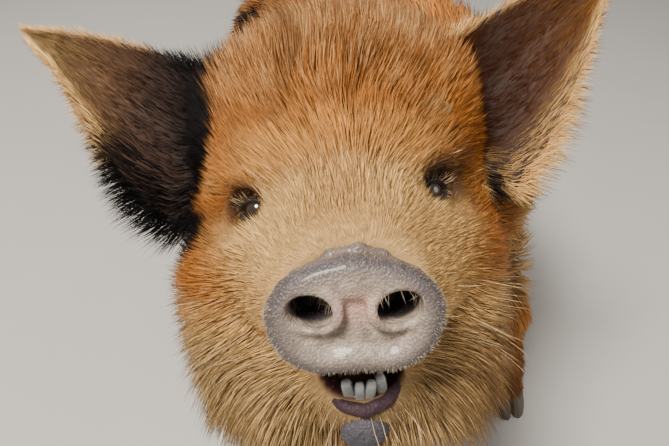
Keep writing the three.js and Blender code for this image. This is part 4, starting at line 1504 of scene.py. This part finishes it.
class CoatBuilder:
    """Turns tufts into meshes of thin tapered blades."""

    LIMIT = 190_000

    def __init__(self, anatomy: Anatomy, seed: int = 5) -> None:
        self.anatomy = anatomy
        self.random = np.random.default_rng(seed)

    def gather(self, roots: Array, tips: Array, size: float, share: float) -> Array:
        """Draws the tips of neighbouring hairs together in clumps.

        Args:
            roots: where the hairs leave the skin.
            tips: where they end.
            size: the clumps' size.
            share: how far the tips move to their clump's own tip.

        Returns:
            The new tips.
        """
        warped = roots + size * 0.6 * np.stack([noise(roots, size * 1.7, k) for k in (31, 32, 33)], -1)
        cell = np.floor(warped / size).astype(np.int64)
        _, clump = np.unique(cell, axis=0, return_inverse=True)
        clump = clump.reshape(-1)
        count = np.bincount(clump)
        middle = np.stack([np.bincount(clump, tips[:, k]) / count for k in range(3)], -1)
        pull = share * self.random.uniform(0.5, 1.2, len(roots))
        return tips + (middle[clump] - tips) * pull[:, None]

    def blades(self, tufts: Tufts, rings: int, clump: float, share: float) -> tuple[Array, Array]:
        """The vertices and colours of the hairs.

        Args:
            tufts: the hairs.
            rings: rings of three vertices along each, before its tip.
            clump: the size of the clumps.
            share: how far they draw together.

        Returns:
            Vertices and colours, each by hair and vertex.
        """
        n = len(tufts.roots)
        rise = tufts.lift[:, None]
        bend = tufts.lie * np.cos(rise) + tufts.normals * np.sin(rise)
        settle = tufts.lie * np.cos(rise * 0.35) + tufts.normals * np.sin(rise * 0.35)
        stray = self.random.normal(0, 0.1, (n, 3))
        middle = tufts.roots + bend * tufts.length[:, None] * 0.5
        tips = middle + unit(settle + stray) * tufts.length[:, None] * 0.5
        tips = self.gather(tufts.roots, tips, clump, share)
        side = unit(np.cross(tips - tufts.roots, tufts.normals))
        start = tufts.roots - tufts.normals * 1.0
        verts, tints = [], []
        for ring in range(rings + 1):
            t = ring / rings
            at = (1 - t) ** 2 * start + 2 * t * (1 - t) * middle + t**2 * tips
            # Painted shade: each hair darkens towards its root, where the coat shades it; its outer half grows lighter
            # towards the tip.
            dark = np.broadcast_to(np.asarray(tufts.root_shade, float), (n,))[:, None]
            colour = tufts.tint * mix(dark, 1.0, min(t * 1.5, 1.0))
            colour = mix(colour, np.minimum(colour * 1.35, 0.9), max(t - 0.5, 0) * 1.4)
            if ring == rings:
                verts.append(at)
                tints.append(colour)
                continue
            wide = (tufts.width * mix(1.0, 0.55, t) / 2)[:, None]
            for a, b in ((-1.0, -0.4), (1.0, -0.4), (0.0, 0.9)):
                verts.append(at + side * wide * a + tufts.normals * wide * b)
                tints.append(colour)
        return np.stack(verts, 1), np.stack(tints, 1)

    def piece(self, name: str, tufts: Tufts, rings: int, clump: float, share: float) -> list[bpy.types.Object]:
        """Builds the hairs as objects small enough for the export.

        Args:
            name: what the objects' names start with.
            tufts: the hairs.
            rings: rings along each hair.
            clump: the size of the clumps.
            share: how far they draw together.

        Returns:
            The objects.
        """
        verts, tints = self.blades(tufts, rings, clump, share)
        order = np.argsort(tufts.roots[:, 0], kind="stable")
        each = 6 * (rings - 1) + 3
        share_ = self.LIMIT // each
        parts = max(1, math.ceil(len(order) / share_))
        made = []
        for i, part in enumerate(np.array_split(order, parts)):
            obj = self.mesh(f"{name}_{i + 1}", verts[part], tints[part], tufts.roots[part], tufts.normals[part], rings)
            made.append(obj)
            log.info("%s: %d hairs, %d triangles", obj.name, len(part), len(part) * each)
        return made

    def mesh(self, name: str, verts: Array, tints: Array, roots: Array, normals: Array, rings: int) -> bpy.types.Object:
        """One object of hairs, with its colours and the map it is baked on.

        Args:
            name: the object's name.
            verts: vertices by hair.
            tints: colours by hair and vertex.
            roots: the hairs' roots.
            normals: the skin's normals there.
            rings: rings along each hair.

        Returns:
            The object.
        """
        n, per = verts.shape[:2]
        pattern = []
        for ring in range(rings - 1):
            a, b = 3 * ring, 3 * ring + 3
            for k in range(3):
                m = (k + 1) % 3
                pattern += [(a + k, a + m, b + m), (a + k, b + m, b + k)]
        last = 3 * (rings - 1)
        pattern += [(last + k, last + (k + 1) % 3, per - 1) for k in range(3)]
        faces = np.array(pattern)[None] + np.arange(n)[:, None, None] * per
        data = make_mesh(name, verts.reshape(-1, 3), faces.reshape(-1, 3), tints.reshape(-1, 3))
        spots = bake_spots(roots, normals)
        ring_of = np.minimum(np.arange(per) // 3, rings)
        local = np.stack([(np.arange(per) % 3) / 2 * 0.9, ring_of / rings], -1) * BAKE_PATCH
        local[-1] = (BAKE_PATCH / 2, BAKE_PATCH)
        uv = (spots[:, None] + local[None]).reshape(-1, 2)
        layer = data.uv_layers.new(name="OFBake")
        layer.data.foreach_set("uv", uv[faces.reshape(-1)].astype(np.float32).ravel())
        return place_object(name, data)


def bake_spots(roots: Array, normals: Array) -> Array:
    """Where roots lie on an unwrap of the skin: six views along the axes, side by side.

    Args:
        roots: places on the skin, in millimetres.
        normals: the skin's normals.

    Returns:
        Map coordinates.
    """
    axis = np.abs(normals).argmax(1)
    facing = np.take_along_axis(normals, axis[:, None], 1)[:, 0] > 0
    tile = axis * 2 + facing
    low, high = np.array([-300.0, -650.0, 0.0]), np.array([300.0, 560.0, 700.0])
    share = (roots - low) / (high - low)
    first = np.where(axis == 0, share[:, 1], share[:, 0])
    second = np.where(axis == 2, share[:, 1], share[:, 2])
    u = (tile % 3 + 0.02 + 0.95 * np.clip(first, 0, 1)) / 3
    v = (tile // 3 + 0.02 + 0.95 * np.clip(second, 0, 1)) / 2
    return np.stack([u, v], -1)


def make_mesh(name: str, points: Array, faces: Array, tint: Array | None = None) -> bpy.types.Mesh:
    """A mesh in metres in the model's frame.

    Args:
        name: its name.
        points: vertices in millimetres in the pig's frame.
        faces: rows of three or four vertex numbers.
        tint: linear colours of the vertices.

    Returns:
        The mesh, shaded smooth.
    """
    data = bpy.data.meshes.new(name)
    corners = faces.shape[1]
    data.vertices.add(len(points))
    data.vertices.foreach_set("co", ((points - MODEL_CENTRE) / 1000).astype(np.float32).ravel())
    data.loops.add(faces.size)
    data.loops.foreach_set("vertex_index", faces.astype(np.int32).ravel())
    data.polygons.add(len(faces))
    data.polygons.foreach_set("loop_start", np.arange(0, faces.size, corners, dtype=np.int32))
    data.polygons.foreach_set("loop_total", np.full(len(faces), corners, dtype=np.int32))
    data.update(calc_edges=True)
    data.polygons.foreach_set("use_smooth", np.ones(len(faces), bool))
    if tint is not None:
        layer = data.color_attributes.new(name="tint", type="FLOAT_COLOR", domain="POINT")
        colour = np.ones((len(points), 4), np.float32)
        colour[:, :3] = np.clip(tint, 0, 1)
        layer.data.foreach_set("color", colour.ravel())
    return data


def place_object(name: str, data: bpy.types.Mesh) -> bpy.types.Object:
    """Adds a mesh to the scene on the model's one body.

    Args:
        name: the object's name.
        data: its mesh.

    Returns:
        The object.
    """
    obj = bpy.data.objects.new(name, data)
    bpy.context.scene.collection.objects.link(obj)
    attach(obj, "root")
    return obj


class Socket:
    """A shader value that takes part in sums."""

    def __init__(self, graph: Graph, value: bpy.types.NodeSocket | float) -> None:
        self.graph = graph
        self.value = value

    def _math(self, operation: str, other: Socket | float, swap: bool = False) -> Socket:
        pair = (other, self) if swap else (self, other)
        return self.graph.node("ShaderNodeMath", {"operation": operation}, {0: pair[0], 1: pair[1]})

    def __add__(self, other: Socket | float) -> Socket:
        return self._math("ADD", other)

    def __sub__(self, other: Socket | float) -> Socket:
        return self._math("SUBTRACT", other)

    def __mul__(self, other: Socket | float) -> Socket:
        return self._math("MULTIPLY", other)

    def __truediv__(self, other: Socket | float) -> Socket:
        return self._math("DIVIDE", other)

    def __radd__(self, other: float) -> Socket:
        return self._math("ADD", other, True)

    def __rsub__(self, other: float) -> Socket:
        return self._math("SUBTRACT", other, True)

    def __rmul__(self, other: float) -> Socket:
        return self._math("MULTIPLY", other, True)

    def __rtruediv__(self, other: float) -> Socket:
        return self._math("DIVIDE", other, True)


class Graph:
    """The nodes of one material."""

    def __init__(self, name: str) -> None:
        self.material = bpy.data.materials.new(name)
        self.material.use_nodes = True
        self.tree = self.material.node_tree
        self.tree.nodes.clear()

    def node(self, kind: str, settings: dict | None = None, inputs: dict | None = None, output: int | str = 0) -> Socket:
        """Adds any node.

        Args:
            kind: its type.
            settings: its properties.
            inputs: values or links by socket.
            output: which of its outputs to hand back.

        Returns:
            The output.
        """
        made = self.tree.nodes.new(kind)
        for key, value in (settings or {}).items():
            setattr(made, key, value)
        for key, value in (inputs or {}).items():
            value = value.value if isinstance(value, Socket) else value
            if isinstance(value, bpy.types.NodeSocket):
                self.tree.links.new(value, made.inputs[key])
            else:
                made.inputs[key].default_value = value
        return Socket(self, made.outputs[output] if made.outputs else 0.0)

    def texture(self, kind: str, scale: float, inputs: dict | None = None, output: int | str = 0) -> Socket:
        """Adds a texture in the object's own space.

        Args:
            kind: the texture node's type.
            scale: its scale, for each metre.
            inputs: its other inputs.
            output: which of its outputs to hand back.

        Returns:
            The output.
        """
        place = self.node("ShaderNodeTexCoord", output="Object")
        return self.node(kind, None, {"Vector": place, "Scale": scale, **(inputs or {})}, output)

    def colour(self, low: Sequence[float], high: Sequence[float], share: Socket) -> Socket:
        """Mixes two colours.

        Args:
            low: the colour at 0.
            high: the colour at 1.
            share: where between them.

        Returns:
            The colour.
        """
        return self.node(
            "ShaderNodeMix", {"data_type": "RGBA"}, {0: share, 6: (*low, 1.0), 7: (*high, 1.0)}, 2
        )

    def surface(self, inputs: dict) -> bpy.types.Material:
        """Ends the graph in a surface.

        Args:
            inputs: the surface's inputs.

        Returns:
            The material.
        """
        shader = self.node("ShaderNodeBsdfPrincipled", None, inputs)
        self.node("ShaderNodeOutputMaterial", None, {"Surface": shader})
        return self.material


@dataclass(frozen=True)
class Finish:
    """A surface whose colour varies between two tones and that has a relief.

    Attributes:
        name: the material's name.
        low: the darker tone.
        high: the lighter tone.
        scale: the size of its mottles, for each metre.
        roughness: its least and most roughness.
        relief: the height of its relief in metres.
        grain: the size of the relief, for each metre.
        cells: whether the relief is of cells, as on bare skin.
        coat: how wet it is.
        tinted: whether the mesh's own colours replace the tones.
        shine: the strength of its reflections.
    """

    name: str
    low: tuple[float, float, float] = (0.1, 0.1, 0.1)
    high: tuple[float, float, float] = (0.2, 0.2, 0.2)
    scale: float = 60
    roughness: tuple[float, float] = (0.4, 0.6)
    relief: float = 0.0004
    grain: float = 500
    cells: bool = False
    coat: float = 0.0
    tinted: bool = False
    shine: float = 0.5

    def material(self) -> bpy.types.Material:
        """Builds the material.

        Returns:
            The material.
        """
        graph = Graph(self.name)
        mottle = graph.texture("ShaderNodeTexNoise", self.scale, {"Detail": 6.0, "Roughness": 0.6})
        tone = graph.colour(self.low, self.high, mottle)
        if self.tinted:
            tint = graph.node("ShaderNodeVertexColor", {"layer_name": "tint"})
            shade = graph.node("ShaderNodeMapRange", None, {0: mottle, 3: 0.78, 4: 1.22})
            tone = graph.node("ShaderNodeVectorMath", {"operation": "SCALE"}, {0: tint, 3: shade})
        kind = "ShaderNodeTexVoronoi" if self.cells else "ShaderNodeTexNoise"
        grain = graph.texture(kind, self.grain)
        rough = graph.node(
            "ShaderNodeMapRange", None, {0: mottle, 3: self.roughness[0], 4: self.roughness[1]}
        )
        bump = graph.node(
            "ShaderNodeBump", None, {"Strength": 0.8, "Distance": self.relief, "Height": grain}
        )
        inputs = {"Base Color": tone, "Roughness": rough, "Normal": bump, "Specular IOR Level": self.shine}
        if self.coat:
            inputs |= {"Coat Weight": self.coat, "Coat Roughness": 0.12}
        return graph.surface(inputs)


FINISHES = {
    "hair": Finish(
        "hair", tinted=True, scale=90, roughness=(0.42, 0.62), relief=0.0001, grain=900, shine=0.08
    ),
    "skin": Finish("skin", tinted=True, scale=70, roughness=(0.6, 0.85), relief=0.0006, grain=420, shine=0.15),
    "nose": Finish(
        "nose_skin", tinted=True, scale=240, roughness=(0.34, 0.68), relief=0.0008, grain=620, cells=True, coat=0.2
    ),
    "lids": Finish("lid_skin", tinted=True, scale=200, roughness=(0.4, 0.6), relief=0.0005, grain=700, cells=True),
    # The lip's mauve is darkened by painted shade under the nose disc.
    "lip": Finish("lip", (0.014, 0.008, 0.01), (0.055, 0.028, 0.036), 160, (0.5, 0.7), 0.0007, 500, True, shine=0.18),
    "chin": Finish("chin", (0.025, 0.023, 0.029), (0.09, 0.083, 0.095), 220, (0.45, 0.7), 0.0009, 620, True, shine=0.2),
    # The gum's dark red is partly its own colour, partly painted shade inside the mouth.
    "mouth": Finish("mouth", (0.03, 0.012, 0.012), (0.09, 0.035, 0.032), 90, (0.3, 0.5), 0.0004, 300),
    "tooth": Finish("tooth", (0.2, 0.2, 0.185), (0.42, 0.43, 0.42), 130, (0.16, 0.3), 0.0001, 400, False, 0.3),
    "eye": Finish("eye", (0.006, 0.004, 0.003), (0.035, 0.016, 0.007), 120, (0.03, 0.06), 0.00001, 100, False, 1.0),
    "horn": Finish("horn", (0.035, 0.027, 0.022), (0.12, 0.095, 0.075), 45, (0.42, 0.7), 0.0008, 160),
}


class Pig:
    """The whole animal, put together from its parts."""

    # The lower incisors in the head's frame: x, y, z, half width and sideways tilt
    TEETH = (
        (-9.2, -117, -97.5, 3.7, -0.08), (-2.2, -119.5, -98.5, 3.1, 0.03),
        (4.2, -120, -97.5, 3.3, 0.15), (10.9, -117, -96, 3.6, -0.04),
    )

    def __init__(self) -> None:
        self.anatomy = Anatomy()
        self.markings = Markings(Palette())
        self.groomer = Groomer(self.anatomy, self.markings)
        self.coat = CoatBuilder(self.anatomy)
        self.materials = {name: finish.material() for name, finish in FINISHES.items()}
        self.lids: dict[str, Surface] = {}

    def add(self, name: str, surface: Surface, finish: str, slot: str, *nodes: str) -> bpy.types.Object:
        """Adds a surface as a piece.

        Args:
            name: the piece's name.
            surface: its mesh.
            finish: its material.
            slot: not used.
            *nodes: the nodes it stands for.

        Returns:
            The object.
        """
        obj = place_object(name, make_mesh(name, surface.points, surface.faces, surface.tint))
        obj.data.materials.append(self.materials[finish])
        if nodes:
            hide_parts(*nodes)
        log.info("%s: %d faces", name, len(surface.faces))
        return obj

    def skin(self) -> tuple[Surface, dict[str, Surface]]:
        """The one skin of the trunk, the neck, the head and the legs.

        Returns:
            The skin, and the ears by side.
        """
        fine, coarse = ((3.35, 8.0))
        net = surface_net(
            self.anatomy.skin,
            (
                grid_axis((-300, 24, fine), (24, 232, coarse)),
                grid_axis((-640, -330, fine), (-330, 470, coarse)),
                grid_axis((HOOF_HEIGHT + 0.5, 300, 7.0), (300, 700, fine)),
            ),
        )
        points = self.anatomy.settle(net.points, 2)
        points[:, 2] = np.maximum(points[:, 2], HOOF_HEIGHT + 0.5)
        skin = Surface(points, net.faces)
        # Painted shade: the skin takes the coat's colours at 0.42 of their brightness, as shade where it shows between
        # the hairs.
        skin.tint = self.markings.colour(points, np.full(len(points), 0.45)) * 0.42
        # Inside the mouth the skin turns dark red: partly the mouth's own colour, partly painted shade in its hollow.
        inside = smooth(2.0, -1.5, ellipsoid((0, -116, -91), (27, 43, 12))(in_head(points)))
        skin.tint = mix(skin.tint, np.array([0.05, 0.02, 0.02]), inside[:, None])
        ears = {}
        for name, side in SIDES.items():
            ear = Ear(name, side)
            ears[name] = ear.surface()
            q = in_head(ears[name].points)
            near = smooth(230, 120, np.abs(q[:, 0]))
            ears[name].tint = mix(np.array([0.07, 0.034, 0.02]), np.array([0.02, 0.012, 0.01]), near[:, None])
        return skin, ears

    def build(self) -> None:
        """Makes every piece."""
        skin, ears = self.skin()
        tail_path = np.array([(0, 385, 436), (0, 420, 446), (2, 452, 446), (8, 486, 410), (10, 494, 350), (4, 492, 290)], float)
        tail = tube(tail_path, np.array([15, 14, 12, 8, 6, 4.0]))
        whole = skin
        for part in (*ears.values(), self.tinted(tail)):
            whole = whole.joined(part)
        tassels = []
        for side in SIDES.values():
            root = on_head((side * 46, 74, -130))
            drop = np.array([0, 12, 26, 44, 62, 74.0])
            path = root + np.stack([side * drop * 0.08, drop * 0, -drop], -1)
            tassels.append(self.tinted(tube(path, np.array([7, 7, 8, 9.5, 10, 7.0]))))
            whole = whole.joined(tassels[-1])
        nodes = ["torso", "neck", "head", "tail", *(leg.name for leg in LEGS)]
        nodes += [f"{part}_{side}" for part in ("ear", "tassel") for side in SIDES]
        self.add("skin", whole, "skin", "coat", *nodes)
        self.face()
        self.feet()
        self.hair(skin, ears, tail, tassels)

    def tinted(self, surface: Surface) -> Surface:
        """Gives a surface of skin the colours of its place at half their brightness, as painted shade under the coat.

        Args:
            surface: the surface.

        Returns:
            The same surface.
        """
        surface.tint = self.markings.colour(surface.points, np.full(len(surface.points), 0.45)) * 0.5
        return surface

    def face(self) -> None:
        """The nose disc, the eyes, the lids, the mouth and the teeth."""
        self.disc = NoseDisc().surface()
        self.add("snout_disc_skin", self.disc, "nose", "nose_skin", "snout_disc")
        for name, side in SIDES.items():
            eye = ball(on_head(eyeball_centre(side)), [EYE_RADIUS] * 3, HEAD @ lid_frame(side), 48)
            self.add(f"eyeball_{name}", eye, "eye", "eyes", f"eye_{name}")
            self.lids[name] = Lids(self.anatomy, side).surface(self.markings)
            self.add(f"lids_{name}", self.lids[name], "lids", "skin")
        lip_path = on_head(np.array([
            (-27, -90, -97), (-23, -108, -101), (-13, -121, -105.5), (0, -126, -107), (14, -121, -105),
            (24, -108, -99), (29, -90, -93),
        ], float))
        lip = tube(lip_path, np.array([1.8, 3.0, 3.7, 4.0, 3.8, 3.4, 2.0]), 28, 90)
        wrinkle = noise(lip.points, 3.2, 41) * 0.5 + noise(lip.points, 7, 42) * 0.6
        lip.points = lip.points + wrinkle[:, None] * head_way(np.array([0, -0.5, 0.7]))
        self.add("lower_lip", lip, "lip", "skin")
        upper = on_head(np.array([
            (-30, -80, -88), (-25, -104, -83), (-14, -122, -78), (0, -129, -75), (14, -122, -78),
            (26, -104, -82), (31, -80, -86),
        ], float))
        self.add("upper_lip", tube(upper, np.array([2.5, 3.6, 4, 4, 4, 3.6, 2.5]), 24, 80), "chin", "skin")
        chin = ball(on_head((-2, -119, -125)), (15, 8, 12.5), HEAD @ frame_along(np.array([0, -1, -0.35]), np.array([0, 0, 1.0])), 56)
        rough = noise(chin.points, 6, 43) + 0.5 * noise(chin.points, 2.4, 45)
        chin.points = chin.points + rough[:, None] * head_way(np.array([0, -0.5, -0.2]))
        self.add("chin_patch", chin, "chin", "skin")
        gum = ball(on_head((0, -109, -104)), (17, 10, 5), HEAD, 40)
        self.add("gum", gum, "mouth", "skin")
        teeth = None
        for x, y, z, wide, tilt in self.TEETH:
            lean = turn_about(1, tilt) @ turn_about(0, 0.5)
            tooth = ball(on_head((x, y, z)), (wide, 2.8, 10.5), HEAD @ lean, 30, 0.62)
            tooth.points = tooth.points + 0.25 * noise(tooth.points, 3, 44)[:, None]
            teeth = tooth if teeth is None else teeth.joined(tooth)
        self.add("lower_teeth", teeth, "tooth", "teeth", "teeth")

    def feet(self) -> None:
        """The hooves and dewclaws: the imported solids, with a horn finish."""
        for leg in LEGS:
            for part in ("claw", "dewclaw"):
                for side in SIDES:
                    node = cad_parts[f"{leg.name}_{part}_{side}"]
                    for spot in node.material_slots:
                        spot.material = self.materials["horn"]

    def hair(self, skin: Surface, ears: dict[str, Surface], tail: Surface, tassels: Sequence[Surface]) -> None:
        """Lays the coat.

        Args:
            skin: the skin without the ears.
            ears: the ears' meshes.
            tail: the tail's mesh.
            tassels: the tassels' meshes.
        """
        groups = [("coat_head", self.groomer.head(skin), 2, 6.0, 0.36)]
        groups.append(("coat_body", self.groomer.body(skin), 2, 20.0, 0.5))
        groups.append(("whiskers", self.groomer.whiskers(skin), 3, 4.0, 0.0))
        switch = self.groomer.hanging(tail, 0.16, lambda p: mix(58, 16, smooth(300, 420, p[:, 2])))
        groups.append(("coat_tail", switch, 2, 9.0, 0.5))
        for name, tassel in zip(SIDES, tassels):
            drop = self.groomer.hanging(tassel, 0.34, lambda p: np.full(len(p), 15.0))
            groups.append((f"coat_tassel_{name}", drop, 2, 5.0, 0.3))
        groups.append(("bristles", self.groomer.bristles(self.disc), 2, 3.0, 0.0))
        for name, side in SIDES.items():
            groups.append((f"lashes_{name}", self.groomer.lashes(self.lids[name], side), 3, 3.0, 0.0))
            groups.append((f"lid_hair_{name}", self.groomer.lid_hair(self.lids[name], side), 2, 3.0, 0.2))
            groups.append((f"coat_ear_{name}", self.groomer.ear(Ear(name, side), ears[name]), 2, 5.0, 0.3))
        for name, tufts, rings, clump, share in groups:
            for obj in self.coat.piece(name, tufts, rings, clump, share):
                obj.data.materials.append(self.materials["hair"])


class Studio:
    """A pale floor, soft lights and the camera."""

    def build(self) -> None:
        """Sets the stage."""
        self.floor()
        self.light("key", (-1.1, -1.1, 2.8), (0, -0.3, 0.4), 0.9, 172)
        self.light("fill", (2.2, -1.6, 1.8), (0, -0.3, 0.4), 1.8, 20)
        self.light("back", (-0.6, 2.6, 2.4), (0, 0.2, 0.4), 1.8, 40)
        world = bpy.data.worlds.new("studio")
        world.use_nodes = True
        world.node_tree.nodes["Background"].inputs["Color"].default_value = (1.0, 0.98, 0.96, 1)
        world.node_tree.nodes["Background"].inputs["Strength"].default_value = 0.42
        bpy.context.scene.world = world
        data = bpy.data.cameras.new("camera")
        data.lens, data.sensor_width = LENS, 36.0
        data.clip_start = 0.01
        camera = bpy.data.objects.new("camera", data)
        camera.location = (CAMERA_AT - MODEL_CENTRE) / 1000
        camera.rotation_euler = (math.pi / 2 - CAMERA_PITCH, 0, CAMERA_TURN)
        bpy.context.scene.collection.objects.link(camera)
        bpy.context.scene.camera = camera

    def floor(self) -> None:
        """A plain pale floor."""
        data = bpy.data.meshes.new("floor")
        r = 12.0
        data.from_pydata([(-r, -r, 0), (r, -r, 0), (r, r, 0), (-r, r, 0)], [], [(0, 1, 2, 3)])
        obj = bpy.data.objects.new("floor", data)
        bpy.context.scene.collection.objects.link(obj)
        data.materials.append(
            Finish("pale_floor", (0.42, 0.4, 0.375), (0.47, 0.45, 0.425), 3, (0.8, 0.9), 0.0002, 90).material()
        )

    def light(self, name: str, at: Sequence[float], target: Sequence[float], size: float, power: float) -> None:
        """A soft area light.

        Args:
            name: its name.
            at: where it is.
            target: what it points at.
            size: its width.
            power: in watts.
        """
        data = bpy.data.lights.new(name, "AREA")
        data.shape, data.size, data.energy = "DISK", size, power
        data.color = (1.0, 0.95, 0.87)
        obj = bpy.data.objects.new(name, data)
        way = np.array(target, float) - np.array(at, float)
        obj.location = at
        yaw = math.atan2(-way[0], way[1])
        obj.rotation_euler = (math.atan2(math.hypot(way[0], way[1]), -way[2]), 0, yaw)
        bpy.context.scene.collection.objects.link(obj)


def main() -> None:
    """Builds the pig and its stage."""
    logging.basicConfig(level=logging.INFO, format="%(name)s %(message)s")
    Studio().build()
    Pig().build()


if __name__ == "__main__":
    main()
